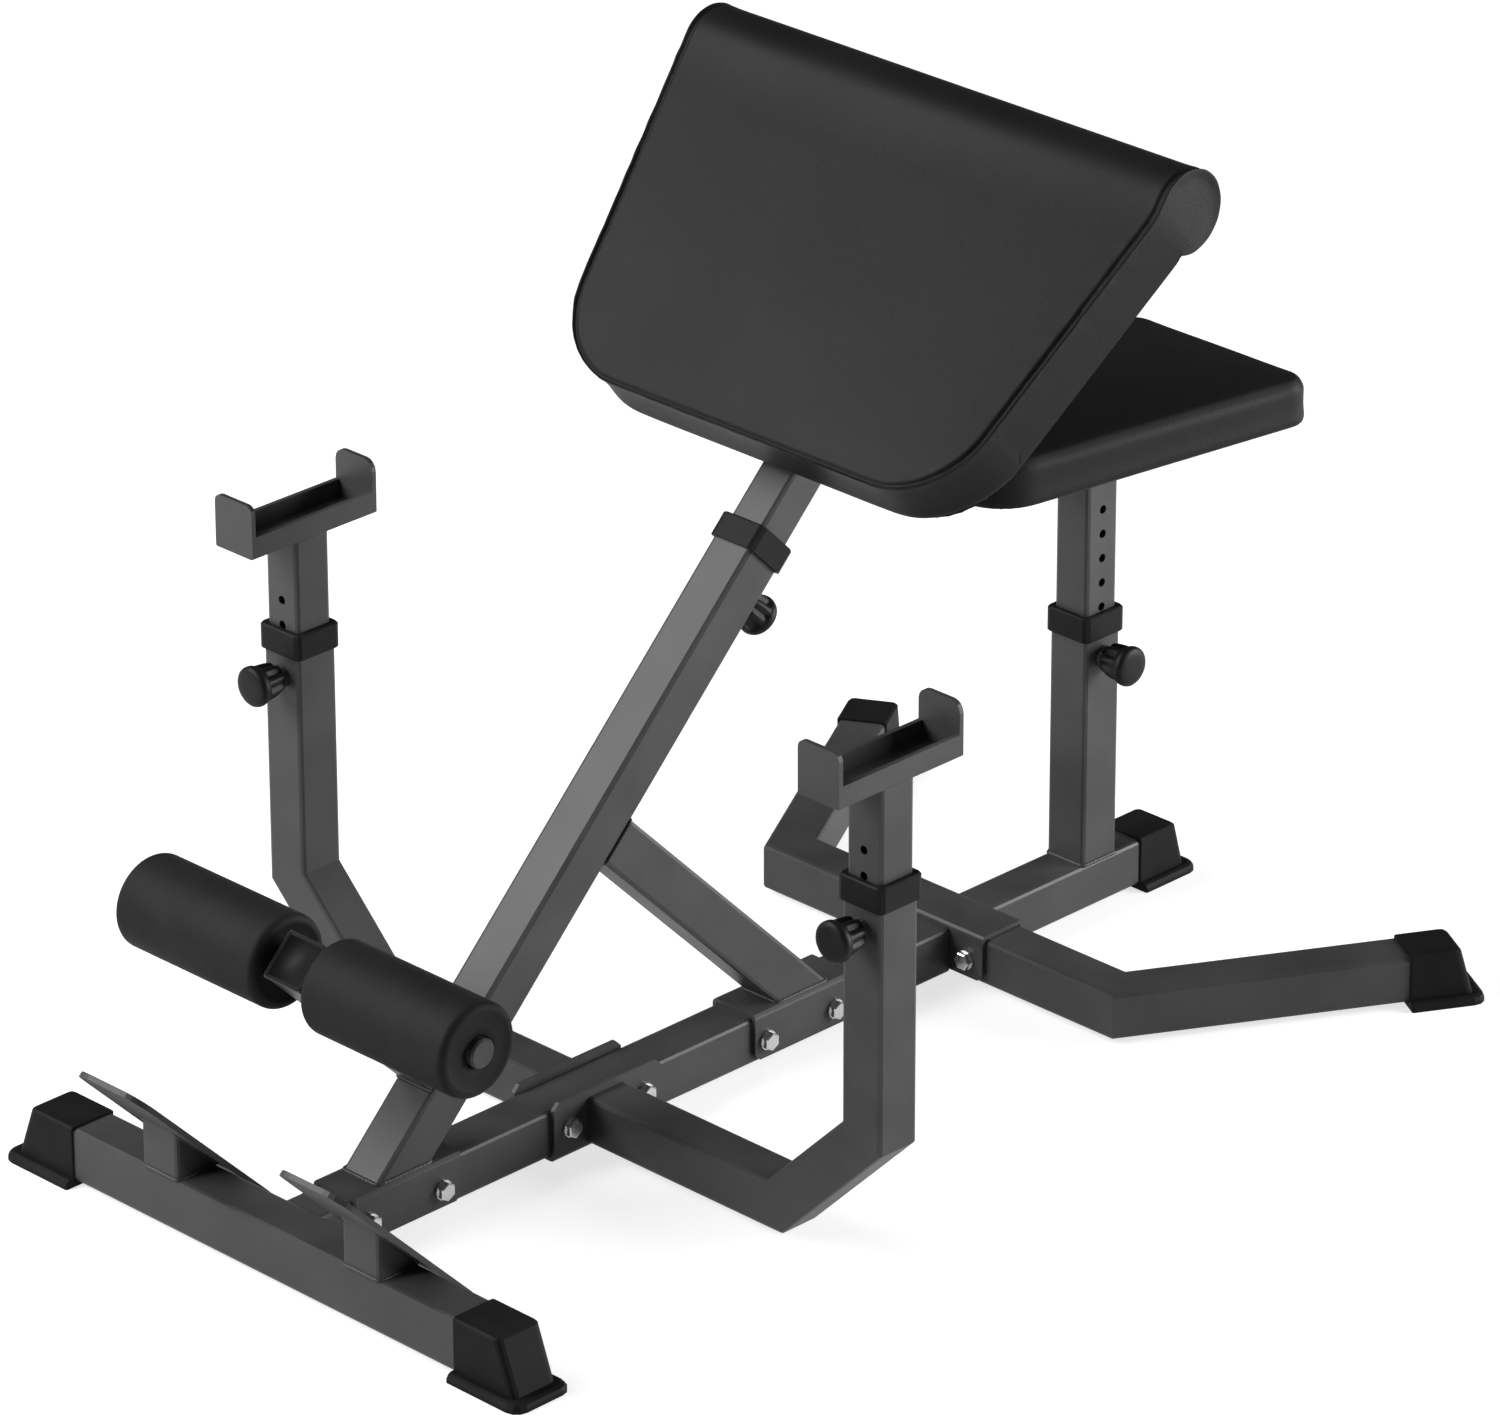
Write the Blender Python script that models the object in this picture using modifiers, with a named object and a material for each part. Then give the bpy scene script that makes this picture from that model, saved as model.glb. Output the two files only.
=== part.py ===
"""Roman chair and preacher bench: a bolted floor frame of square tube, a slanted post with a pair of
foam ankle rollers, an arm pad, a seat and two bar cups, each on a tube that slides and is held by a
spring pin.

Metres, +Z up. The front of the bench is at -Y, and its left and right are those of the photograph's
viewer, with right at +X. Distances along the bench are measured from the front face of the front
cross tube, and ORIGIN_Y then moves the whole bench so that its origin lies under its middle.
"""

import math

import bmesh
import bpy
from mathutils import Matrix, Vector

# Clearances
FIT = 0.0003  # between two pieces that touch or are welded
RUN = 0.0004  # between two pieces that slide or turn on each other

# Square tubes
TUBE = 0.050  # outer width of every frame tube
TUBE_WALL = 0.002
TUBE_CORNER = 0.004  # outer corner radius
INNER_TUBE = 0.044  # outer width of every sliding tube
FLOOR_CLEARANCE = 0.006  # from the floor to the underside of the floor tubes
MITRE = math.radians(45)  # slope of the post and of the foot plates

# Front cross tube, its foot risers and the foot plates
FRONT_TUBE_HEIGHT = 0.056
FRONT_SPAN = 0.530  # between the two foot caps
RISER_SPACING = 0.280
RISER_HEIGHT = 0.0495  # front edge of a riser above the cross tube
FOOT_PLATE_WIDTH = 0.096
FOOT_PLATE_LENGTH = 0.245
FOOT_PLATE_THICKNESS = 0.0055
FOOT_PLATE_CORNER = 0.025
FOOT_PLATE_OVERHANG = 0.0945  # up the slope, past the riser's front edge

# Foot caps
CAP_WALL = 0.0022
FRONT_CAP_LENGTH = 0.061  # along the tube at the top
FRONT_CAP_SLOPE = 0.024  # how far the outer end leans out on its way down
REAR_CAP_LENGTH = 0.0545
REAR_CAP_SLOPE = 0.016
CAP_LIP = 0.0095  # reach of the base lip past the cap's sides and end
CAP_LIP_HEIGHT = 0.009
CAP_LIP_BEVEL = 0.005
CAP_EDGE = 0.002
CAP_END_WALL = 0.005

# Bent plates over or under the beam
SADDLE_WALL = 0.0045
SADDLE_BEND = 0.006
SADDLE_LENGTH = 0.136
SADDLE_CHAMFER = 0.007
SADDLE_FOOT = 0.010  # lower edge of a saddle's walls above the floor
SADDLE_BOLT_HEIGHT = 0.029
SADDLE_BOLT_SHIFT = -0.004  # middle of the bolts from the middle of the post and brace saddles
RACK_BOLT_HEIGHT = 0.033
POST_SADDLE_Y = 0.164
BRACE_SADDLE_Y = 0.698
RACK_SADDLE_Y = 0.427
RACK_SADDLE_LENGTH = 0.144
RACK_SADDLE_HEIGHT = 0.064  # top of its walls above the floor
BOLT_SPACING = 0.095
RACK_BOLT_SPACING = 0.100
REAR_BRACKET_WIDTH = 0.140
REAR_BOLT_SPACING = 0.096

# Bolts
BOLT_DIAMETER = 0.010
BOLT_HEAD = 0.017  # across the flats
BOLT_HEAD_HEIGHT = 0.0065
NUT_HEIGHT = 0.008
WASHER_DIAMETER = 0.021
WASHER_THICKNESS = 0.002
BOLT_END = 0.003  # thread that stands out of the nut

# Slanted post and its brace. Distances along the post are from the foot of its centre line
POST_FOOT_Y = 0.1638  # where the post's centre line meets the post saddle
POST_LENGTH = 0.704  # to the underside of the collar's lip
STUB_AT = 0.103
STUB_LENGTH = 0.231  # out of the post, without its end cap
STUB_CAP = 0.004  # plate that closes its end
BRACE_AT = 0.3795
AXLE_REACH = 0.230  # from the post's centre line to the axle
AXLE_DIAMETER = 0.025
AXLE_WALL = 0.0025
AXLE_LENGTH = 0.446
AXLE_CAP_DIAMETER = 0.030
AXLE_CAP_THICKNESS = 0.009
AXLE_CAP_PLUG = 0.015

# Foam rollers
ROLLER_DIAMETER = 0.0955
ROLLER_END_GAP = 0.001  # from a roller's outer end to the axle's end
ROLLER_INSIDE = 0.032  # from the middle of the bench to a roller's inner end
ROLLER_EDGE = 0.007
ROLLER_GROOVE = 0.0012
ROLLER_GROOVE_AT = 0.016  # from a roller's end

# Rack
RACK_Y = 0.425
RACK_WIDTH = 0.794  # between the uprights' centre lines
RACK_ELBOW = 0.1154  # leg of the centre line's 45 degree corner
RACK_TUBE_TOP = 0.412
RACK_INNER_LENGTH = 0.272

# Guide collars
COLLAR_WALL = 0.0033
COLLAR_LIP = 0.005
COLLAR_DEPTH = 0.0215  # down over the tube
COLLAR_EDGE = 0.0015

# Rear base
REAR_BASE_Y = 0.9415
REAR_ARM_X = 0.2286  # where the arms' centre lines leave the cross tube
REAR_ARM_SPLAY = math.radians(30)
REAR_ARM_LENGTH = 0.296
REAR_BEAM_END = 0.2515  # from the rear base's centre line to the front of the centre foot cap

# Seat
SEAT_POST_Y = 1.1325
SEAT_TUBE_TOP = 0.328
SEAT_INNER_LENGTH = 0.280
SEAT_PLATE_HEIGHT = 0.505  # top of the seat's inner tube above the floor
SEAT_PLATE_THICKNESS = 0.005
SEAT_PLATE_WIDTH = 0.090
SEAT_PLATE_LENGTH = 0.200
SEAT_THICKNESS = 0.051
SEAT_LENGTH = 0.402
SEAT_FRONT_Y = 0.933
SEAT_REAR_HALF_WIDTH = 0.1275
SEAT_SPLAY = math.radians(9)
SEAT_FRONT_CORNER = 0.058
SEAT_REAR_CORNER = 0.022
SEAT_EDGE = 0.010

# Arm pad. Heights are from the post's centre line towards the pad's face
PAD_INNER_TOP = 1.009  # end of the inner tube, along the post
PAD_INNER_BOTTOM = 0.470
PAD_UNDERSIDE = 0.0375
PAD_FACE = 0.100
PAD_LOWER_EDGE = 0.764  # along the post
PAD_LOWER_HALF_WIDTH = 0.261
PAD_TAPER = 0.168  # growth of the half width along the post
PAD_UPPER_HALF_WIDTH = 0.3185  # where the taper stops, along the roll
PAD_LOWER_CORNER = 0.085
PAD_EDGE = 0.005
PAD_CROWN = 0.003
PAD_PULL_IN = 0.0025  # how far the sides draw in at half height
ROLL_AT = 1.135  # the roll's centre along the post
ROLL_HEIGHT = 0.0625
ROLL_RADIUS = 0.0425
ROLL_BLEND = 0.056  # where the face starts to rise, before the roll's centre
CHANNEL_WIDTH = 0.040
CHANNEL_WALL = 0.003
CHANNEL_BEND = 0.0045
CHANNEL_LENGTH = 0.340
CHANNEL_LOWER_AT = 0.815
CHANNEL_UPPER_AT = 0.970

# Boards in the cushions
BOARD_THICKNESS = 0.012
BOARD_INSET = 0.014

# Spring pins and their rows of holes
HOLE_DIAMETER = 0.0095
HOLE_PITCH = 0.0267
PIN_DIAMETER = 0.008
PIN_REACH = 0.008  # tip below the outer tube's face
PIN_TIP = 0.002
HOUSING_FLANGE = 0.024
HOUSING_FLANGE_HEIGHT = 0.007
HOUSING_BARREL = 0.016
HOUSING_HEIGHT = 0.019
KNOB_DIAMETER = 0.042
KNOB_NECK = 0.029
KNOB_LENGTH = 0.035
KNOB_FLUTE = 0.0022
KNOB_FLUTES = 8
KNOB_HOLE_DEPTH = 0.026
SEAT_PIN_DROP = 0.0435  # from the end of the outer tube to its spring pin
RACK_PIN_DROP = 0.0455
POST_PIN_DROP = 0.059
SEAT_HOLES = (0, 6)  # below and above the one that the pin is in
RACK_HOLES = (3, 3)
POST_HOLES = (4, 2)

# Bar cups
CUP_WIDTH = 0.053
CUP_LENGTH = 0.164
CUP_FLOOR = 0.516  # underside above the floor
CUP_WALL = 0.005
CUP_SIDE_HEIGHT = 0.023
CUP_END_HEIGHT = 0.056
CUP_FRONT_CORNER = 0.008
CUP_REAR_CORNER = 0.012

# Heights and places that follow from the values above
TUBE_TOP = FLOOR_CLEARANCE + TUBE
TUBE_MIDDLE = FLOOR_CLEARANCE + TUBE / 2
SADDLE_HALF = TUBE / 2 + FIT + SADDLE_WALL
SADDLE_TOP = TUBE_TOP + FIT + SADDLE_WALL
FRONT_TUBE_TOP = FLOOR_CLEARANCE + FRONT_TUBE_HEIGHT
FOOT_PLATE_FRONT_Y = -FOOT_PLATE_OVERHANG * math.cos(MITRE)
SEAT_REAR_Y = SEAT_FRONT_Y + SEAT_LENGTH
ROLLER_LENGTH = AXLE_LENGTH / 2 - ROLLER_END_GAP - ROLLER_INSIDE
SEAT_PIN_HEIGHT = SEAT_TUBE_TOP - SEAT_PIN_DROP
RACK_PIN_HEIGHT = RACK_TUBE_TOP - RACK_PIN_DROP
POST_PIN_AT = POST_LENGTH - POST_PIN_DROP
ORIGIN_Y = (FOOT_PLATE_FRONT_Y + SEAT_REAR_Y) / 2

COAT = ("#4a4a4a", 0.50, 0.30)
MOULDED = ("#262626", 0.55, 0.0)
COLLAR_PLASTIC = ("#303030", 0.50, 0.0)
VINYL = ("#2e2e2e", 0.55, 0.0)
FOAM = ("#323232", 0.80, 0.0)
ZINC = ("#c8c8c8", 0.30, 1.0)
STEEL = ("#9a9a9a", 0.35, 1.0)
PALE_CAP = ("#8a8a8a", 0.45, 0.3)
PLYWOOD = ("#6b5138", 0.80, 0.0)
PLATE_COAT = ("#5a5a5a", 0.45, 0.40)


def clear_scene():
    for item in list(bpy.data.objects):
        bpy.data.objects.remove(item)


def new_collection(name):
    collection = bpy.data.collections.new(name)
    bpy.context.scene.collection.children.link(collection)
    return collection


def linear_colour(code):
    """An sRGB hex code as linear values."""
    values = [int(code[i:i + 2], 16) / 255 for i in (1, 3, 5)]
    return [v / 12.92 if v <= 0.04045 else ((v + 0.055) / 1.055) ** 2.4 for v in values]


def new_material(name, finish):
    code, roughness, metallic = finish
    made = bpy.data.materials.new(name)
    made.use_nodes = True
    shader = made.node_tree.nodes["Principled BSDF"]
    shader.inputs["Base Color"].default_value = linear_colour(code) + [1]
    shader.inputs["Roughness"].default_value = roughness
    shader.inputs["Metallic"].default_value = metallic
    return made


def place(item, location=(0, 0, 0), rotation=(0, 0, 0), parent=None):
    item.parent = parent
    item.location = location
    item.rotation_euler = rotation
    return item


def new_part(name, mesh, finish, location=(0, 0, 0), rotation=(0, 0, 0), parent=None):
    """One sub-part of the bench, with its own material."""
    item = bpy.data.objects.new(name, mesh)
    PARTS.objects.link(item)
    mesh.materials.clear()
    mesh.materials.append(new_material(name, finish))
    mesh.shade_smooth()
    mesh.set_sharp_from_angle(angle=math.radians(40))
    return place(item, location, rotation, parent or BENCH)


def new_axis(name, location, rotation=(0, 0, 0), parent=None):
    """An empty that carries pieces placed along its own axes."""
    item = bpy.data.objects.new(name, None)
    PARTS.objects.link(item)
    return place(item, location, rotation, parent or BENCH)


def cut(item, cutter_mesh, operation="DIFFERENCE"):
    """Cuts a piece with a mesh given in the piece's own space."""
    cutter = bpy.data.objects.new(item.name + "_cutter", cutter_mesh)
    CUTTERS.objects.link(cutter)
    cutter.hide_render = True
    cutter.display_type = "WIRE"
    cutter.parent = item
    boolean = item.modifiers.new("cut", "BOOLEAN")
    boolean.operation = operation
    boolean.object = cutter
    return item


def finished(shape, name):
    """The mesh of a bmesh whose faces are made to point outwards."""
    bmesh.ops.recalc_face_normals(shape, faces=shape.faces)
    if shape.calc_volume(signed=True) < 0:
        bmesh.ops.reverse_faces(shape, faces=shape.faces)
    mesh = bpy.data.meshes.new(name)
    shape.to_mesh(mesh)
    shape.free()
    return mesh


def joined(meshes, name):
    """Several separate solids as one mesh."""
    shape = bmesh.new()
    for mesh in meshes:
        shape.from_mesh(mesh)
    return finished(shape, name)


def moved(mesh, matrix):
    mesh.transform(matrix)
    return mesh


def shifted(mesh, x=0, y=0, z=0):
    return moved(mesh, Matrix.Translation((x, y, z)))


def turned_to(mesh, axis):
    """Turns a mesh made along +Z so that it runs along another axis."""
    return moved(mesh, Vector((0, 0, 1)).rotation_difference(Vector(axis)).to_matrix().to_4x4())


def box(name, size, centre=(0, 0, 0)):
    shape = bmesh.new()
    bmesh.ops.create_cube(shape, size=1)
    bmesh.ops.scale(shape, vec=size, verts=shape.verts)
    bmesh.ops.translate(shape, vec=centre, verts=shape.verts)
    return finished(shape, name)


def cylinder(name, diameter, bottom, top, sides=16, turn=0):
    """A cylinder or a prism about +Z."""
    shape = bmesh.new()
    bmesh.ops.create_cone(
        shape, cap_ends=True, segments=sides, radius1=diameter / 2, radius2=diameter / 2,
        depth=top - bottom, matrix=Matrix.Rotation(turn, 4, "Z"),
    )
    bmesh.ops.translate(shape, vec=(0, 0, (top + bottom) / 2), verts=shape.verts)
    return finished(shape, name)


def round_rectangle(width, depth, corners, steps=3):
    """An outline as points, anticlockwise; corners are the radii at +X+Y, -X+Y, -X-Y and +X-Y."""
    points = []
    for number, radius in enumerate(corners):
        middle_x = (width / 2 - radius) * (1 if number in (0, 3) else -1)
        middle_y = (depth / 2 - radius) * (1 if number in (0, 1) else -1)
        for step in range(steps + 1):
            angle = math.radians(90) * (number + step / steps)
            x = middle_x + radius * math.cos(angle)
            y = middle_y + radius * math.sin(angle)
            points.append((x, y))
    return points


def flat_plate(name, outlines, thickness):
    """A plate from z = 0 up, from one outline and the outlines of any holes in it."""
    curve = bpy.data.curves.new(name, "CURVE")
    curve.dimensions = "2D"
    curve.fill_mode = "BOTH"
    curve.extrude = thickness / 2
    for outline in outlines:
        spline = curve.splines.new("POLY")
        spline.points.add(len(outline) - 1)
        for point, (x, y) in zip(spline.points, outline):
            point.co = (x, y, 0, 1)
        spline.use_cyclic_u = True
    guide = bpy.data.objects.new(name, curve)
    CUTTERS.objects.link(guide)
    graph = bpy.context.evaluated_depsgraph_get()
    mesh = bpy.data.meshes.new_from_object(guide.evaluated_get(graph))
    bpy.data.objects.remove(guide)
    shape = bmesh.new()
    shape.from_mesh(mesh)
    bmesh.ops.remove_doubles(shape, verts=shape.verts, dist=1e-6)
    bmesh.ops.dissolve_limit(
        shape, angle_limit=math.radians(1), verts=shape.verts, edges=shape.edges
    )
    return shifted(finished(shape, name), z=thickness / 2)


def slide_onto(verts, along, point, normal):
    """Moves points along a direction until they lie on a plane."""
    for vert in verts:
        vert.co += along * ((point - vert.co).dot(normal) / along.dot(normal))


def tube(name, path, across, width, height=None, cut_start=None, cut_end=None):
    """A square tube along a path, mitred at its bends. across is its width's direction, and an end
    can be cut along a plane that is given by its normal."""
    points = [Vector(point) for point in path]
    runs = [(b - a).normalized() for a, b in zip(points, points[1:])]
    planes = [Vector(cut_start) if cut_start else runs[0]]
    planes += [(a + b).normalized() for a, b in zip(runs, runs[1:])]
    planes += [Vector(cut_end) if cut_end else runs[-1]]
    across = Vector(across)
    upward = runs[0].cross(across)
    shape = bmesh.new()
    rims = []
    for inset in (0, TUBE_WALL):
        radius = TUBE_CORNER - inset
        outline = round_rectangle(
            width - 2 * inset, (height or width) - 2 * inset, [radius] * 4, steps=2
        )
        ring = [shape.verts.new(points[0] + across * u + upward * v) for u, v in outline]
        rims += [shape.edges.new(pair) for pair in zip(ring, ring[1:] + ring[:1])]
    end = bmesh.ops.bridge_loops(shape, edges=rims)["faces"]
    slide_onto(shape.verts, runs[0], points[0], planes[0])
    for number, (run, point, plane) in enumerate(zip(runs, points[1:], planes[1:])):
        made = bmesh.ops.extrude_face_region(shape, geom=end)["geom"]
        if number > 0:
            inner = [face for face in end if face.is_valid]
            bmesh.ops.delete(shape, geom=inner, context="FACES_ONLY")
        end = [face for face in made if isinstance(face, bmesh.types.BMFace)]
        slide_onto({vert for face in end for vert in face.verts}, run, point, plane)
    return finished(shape, name)


def ring_loft(name, rings, closed=False):
    """A solid through a chain of rings of points. Its first and last ring are filled, or they are
    joined to each other."""
    shape = bmesh.new()
    loops = [[shape.verts.new(point) for point in ring] for ring in rings]
    pairs = list(zip(loops, loops[1:]))
    if closed:
        pairs.append((loops[-1], loops[0]))
    else:
        shape.faces.new(loops[0])
        shape.faces.new(loops[-1])
    for first, second in pairs:
        for i in range(len(first)):
            shape.faces.new((first[i - 1], first[i], second[i], second[i - 1]))
    return finished(shape, name)


def turned(item, steps):
    """Spins a piece's profile, drawn in its XZ plane, about its own Z axis."""
    screw = item.modifiers.new("turn", "SCREW")
    screw.steps = steps
    screw.render_steps = steps
    screw.use_merge_vertices = True
    screw.merge_threshold = 1e-6
    screw.use_smooth_shade = True
    return item


def profile(name, points, closed):
    """A profile for turning: (radius, height) points from the top down the outer side."""
    mesh = bpy.data.meshes.new(name)
    edges = [(i, i + 1) for i in range(len(points) - 1)]
    if closed:
        edges.append((len(points) - 1, 0))
    mesh.from_pydata([(radius, 0, height) for radius, height in points], edges, [])
    return mesh


def rounded_edges(mesh, width, segments=2, chosen=None):
    """Rounds the edges of a mesh, or only those that chosen picks by their middle point."""
    shape = bmesh.new()
    shape.from_mesh(mesh)
    edges = list(shape.edges)
    if chosen:
        edges = [edge for edge in edges if chosen((edge.verts[0].co + edge.verts[1].co) / 2)]
    bmesh.ops.bevel(
        shape, geom=edges, offset=width, segments=segments, profile=0.5, affect="EDGES",
        material=-1, clamp_overlap=True,
    )
    return finished(shape, mesh.name)


def circle(radius, height, sides, start=0.0):
    angles = [start + math.tau * i / sides for i in range(sides)]
    return [(radius * math.cos(a), radius * math.sin(a), height) for a in angles]


def level(outline, height):
    return [(x, y, height) for x, y in outline]


def bores(name, diameter, centres, axis, reach, sides=12):
    """A set of cylinders through several centres, all along one axis."""
    return joined([
        moved(
            turned_to(cylinder(name, diameter, -reach, reach, sides), axis),
            Matrix.Translation(centre),
        )
        for centre in centres
    ], name)


def bent_plate(name, length, half_width, height, wall, bend, chamfer):
    """An inverted channel along Y, folded from sheet, with its top at z = 0."""
    shape = bmesh.new()
    inner = half_width - wall
    corners = [(-inner, -height), (-inner, -wall), (inner, -wall), (inner, -height)]
    rows = [[shape.verts.new((x, y, z)) for x, z in corners] for y in (-length / 2, length / 2)]
    for i in range(3):
        shape.faces.new((rows[0][i], rows[0][i + 1], rows[1][i + 1], rows[1][i]))
    bends = [edge for edge in shape.edges if not edge.is_boundary]
    if chamfer:
        tips = [vert for vert in shape.verts if vert.co.z < -wall - 1e-5]
        bmesh.ops.bevel(
            shape, geom=tips, offset=chamfer, segments=1, profile=0.5, affect="VERTICES",
            material=-1,
        )
        bends = [
            edge for edge in shape.edges
            if abs(edge.verts[0].co.z + wall) < 1e-6 and abs(edge.verts[1].co.z + wall) < 1e-6
            and len(edge.link_faces) == 2
        ]
    bmesh.ops.bevel(
        shape, geom=bends, offset=bend - wall, segments=3, profile=0.5, affect="EDGES",
        material=-1,
    )
    bmesh.ops.recalc_face_normals(shape, faces=shape.faces)
    upward = sum(face.normal.z for face in shape.faces if abs(face.normal.z) > 0.9)
    if upward < 0:
        bmesh.ops.reverse_faces(shape, faces=shape.faces)
    mesh = bpy.data.meshes.new(name)
    shape.to_mesh(mesh)
    shape.free()
    return mesh


def thickened(item, wall):
    """Gives a folded sheet its thickness on its outer side."""
    solid = item.modifiers.new("sheet", "SOLIDIFY")
    solid.thickness = wall
    solid.offset = 1
    solid.use_even_offset = True
    return item


def foot_cap(name, tube_height, length, slope, location, direction):
    """A moulded cap on a floor tube's end: a sleeve, an outer end that leans out towards the floor,
    and a lip round its base. The tube comes out of it towards its -X."""
    top = FLOOR_CLEARANCE + tube_height + CAP_WALL
    width = TUBE + 2 * CAP_WALL

    def outline(reach, grown, corner):
        near = [0.002, 0.002]
        points = round_rectangle(
            reach, width + 2 * grown, [corner] + near + [corner], steps=3
        )
        return [(x + reach / 2, y) for x, y in points]

    def lean(height):
        return length + slope * (1 - height / top)

    lip_end = lean(0) + CAP_LIP
    rings = [
        level(outline(lip_end, CAP_LIP, 0.014), 0),
        level(outline(lip_end, CAP_LIP, 0.014), CAP_LIP_HEIGHT - CAP_LIP_BEVEL),
        level(outline(lip_end - CAP_LIP_BEVEL * 0.3, CAP_LIP * 0.75, 0.013),
              CAP_LIP_HEIGHT - CAP_LIP_BEVEL * 0.3),
        level(outline(lip_end - CAP_LIP_BEVEL, CAP_LIP * 0.45, 0.011), CAP_LIP_HEIGHT),
        level(outline(lean(CAP_LIP_HEIGHT), 0, 0.007), CAP_LIP_HEIGHT),
        level(outline(lean(top - CAP_EDGE), 0, 0.007), top - CAP_EDGE),
        level(outline(lean(top) - CAP_EDGE, -CAP_EDGE, 0.005), top),
    ]
    item = new_part(name, ring_loft(name, rings), MOULDED, location, (0, 0, direction))
    pocket = length - CAP_END_WALL
    return cut(item, box(
        name, (2 * pocket, TUBE + 2 * FIT, tube_height + 2 * FIT),
        (0, 0, FLOOR_CLEARANCE + tube_height / 2),
    ))


def collar(name, location, parent=None):
    """A moulded ring over an outer tube's top, whose lip guides the inner tube."""
    outer = TUBE + 2 * (FIT + COLLAR_WALL)
    bore = INNER_TUBE + 2 * RUN
    pocket = TUBE + 2 * FIT

    def square(width, corner, height):
        return level(round_rectangle(width, width, [corner] * 4, steps=2), height)

    rings = [
        square(outer, 0.006, -COLLAR_DEPTH),
        square(outer, 0.006, COLLAR_LIP - COLLAR_EDGE),
        square(outer - 2 * COLLAR_EDGE, 0.005, COLLAR_LIP),
        square(bore, 0.003, COLLAR_LIP),
        square(bore, 0.003, 0),
        square(pocket, 0.004, 0),
        square(pocket, 0.004, -COLLAR_DEPTH),
    ]
    return new_part(name, ring_loft(name, rings, closed=True), COLLAR_PLASTIC, location, parent=parent)


def add_pin_housing(item, face_centre, outward):
    """Welds a spring pin's housing to an outer tube and bores through both."""
    outward = Vector(outward)
    flange = cylinder(item.name, HOUSING_FLANGE, -TUBE_WALL / 4, HOUSING_FLANGE_HEIGHT, 16)
    barrel = cylinder(item.name, HOUSING_BARREL, HOUSING_FLANGE_HEIGHT / 2, HOUSING_HEIGHT, 16)
    bore = cylinder(item.name, PIN_DIAMETER + 2 * RUN, -2 * TUBE_WALL, 2 * HOUSING_HEIGHT, 12)
    for solid, operation in ((flange, "UNION"), (barrel, "UNION"), (bore, "DIFFERENCE")):
        turned_to(solid, outward)
        shifted(solid, *face_centre)
        cut(item, solid, operation)
    return item


def fluted(radius, height, depth):
    """A ring of points whose radius dips into shallow flutes."""
    sides = KNOB_FLUTES * 3
    points = []
    for i in range(sides):
        dip = depth if i % 3 == 0 else 0
        angle = math.tau * i / sides
        points.append(((radius - dip) * math.cos(angle), (radius - dip) * math.sin(angle), height))
    return points


def spring_pin(prefix, location, rotation, parent=None):
    """A steel plunger with a fluted knob on it. It slides along the axis's +Z, out of the tube."""
    axis = new_axis(prefix + "_axis", location, rotation, parent)
    sides = KNOB_FLUTES * 3
    near = HOUSING_FLANGE_HEIGHT + 0.001
    far = near + KNOB_LENGTH
    hole_end = near + KNOB_HOLE_DEPTH
    pin_end = hole_end + 0.004
    wide = KNOB_DIAMETER / 2
    neck = KNOB_NECK / 2
    cavity = HOUSING_BARREL / 2 + 2 * RUN
    pin_hole = PIN_DIAMETER / 2 + FIT
    rings = [
        circle(pin_hole, pin_end + FIT, sides),
        circle(pin_hole, hole_end, sides),
        circle(cavity, hole_end, sides),
        circle(cavity, near, sides),
        fluted(neck, near, 0.001),
        fluted(neck + (wide - neck) * 0.55, near + KNOB_LENGTH * 0.55, KNOB_FLUTE),
        fluted(wide - 0.001, far - 0.011, KNOB_FLUTE / 2),
        circle(wide, far - 0.008, sides),
        circle(wide - 0.0015, far - 0.003, sides),
        circle(wide - 0.007, far, sides),
    ]
    new_part(prefix + "_knob", ring_loft(prefix, rings), MOULDED, parent=axis)
    tip = -PIN_REACH
    radius = PIN_DIAMETER / 2
    points = [
        (0, pin_end), (radius, pin_end), (radius, tip + PIN_TIP), (radius - PIN_TIP / 2, tip),
        (0, tip),
    ]
    pin = new_part(prefix + "_pin", profile(prefix, points, closed=False), STEEL, parent=axis)
    return turned(pin, 12)


def bolt(name, grip, location, rotation):
    """A hex bolt with two washers and a nut, drawn up on a stack of the given thickness."""
    sides = 12
    side = grip / 2 + FIT

    def hexagon(height, shrink=0.0):
        across = BOLT_HEAD / 2 - shrink
        ring = []
        for i in range(sides):
            radius = across if i % 2 else across / math.cos(math.radians(30))
            angle = math.tau * i / sides
            ring.append((radius * math.cos(angle), radius * math.sin(angle), height))
        return ring

    washer = WASHER_DIAMETER / 2
    shank = BOLT_DIAMETER / 2
    head = side + WASHER_THICKNESS
    rings = [
        hexagon(head + BOLT_HEAD_HEIGHT, 0.0012),
        hexagon(head + BOLT_HEAD_HEIGHT - 0.0012),
        hexagon(head),
        circle(washer, head, sides),
        circle(washer, side, sides),
        circle(shank, side, sides),
        circle(shank, -side, sides),
        circle(washer, -side, sides),
        circle(washer, -head, sides),
        hexagon(-head),
        hexagon(-head - NUT_HEIGHT),
        circle(shank, -head - NUT_HEIGHT, sides),
        circle(shank, -head - NUT_HEIGHT - BOLT_END, sides),
    ]
    return new_part(name, ring_loft(name, rings), ZINC, location, rotation)


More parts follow.
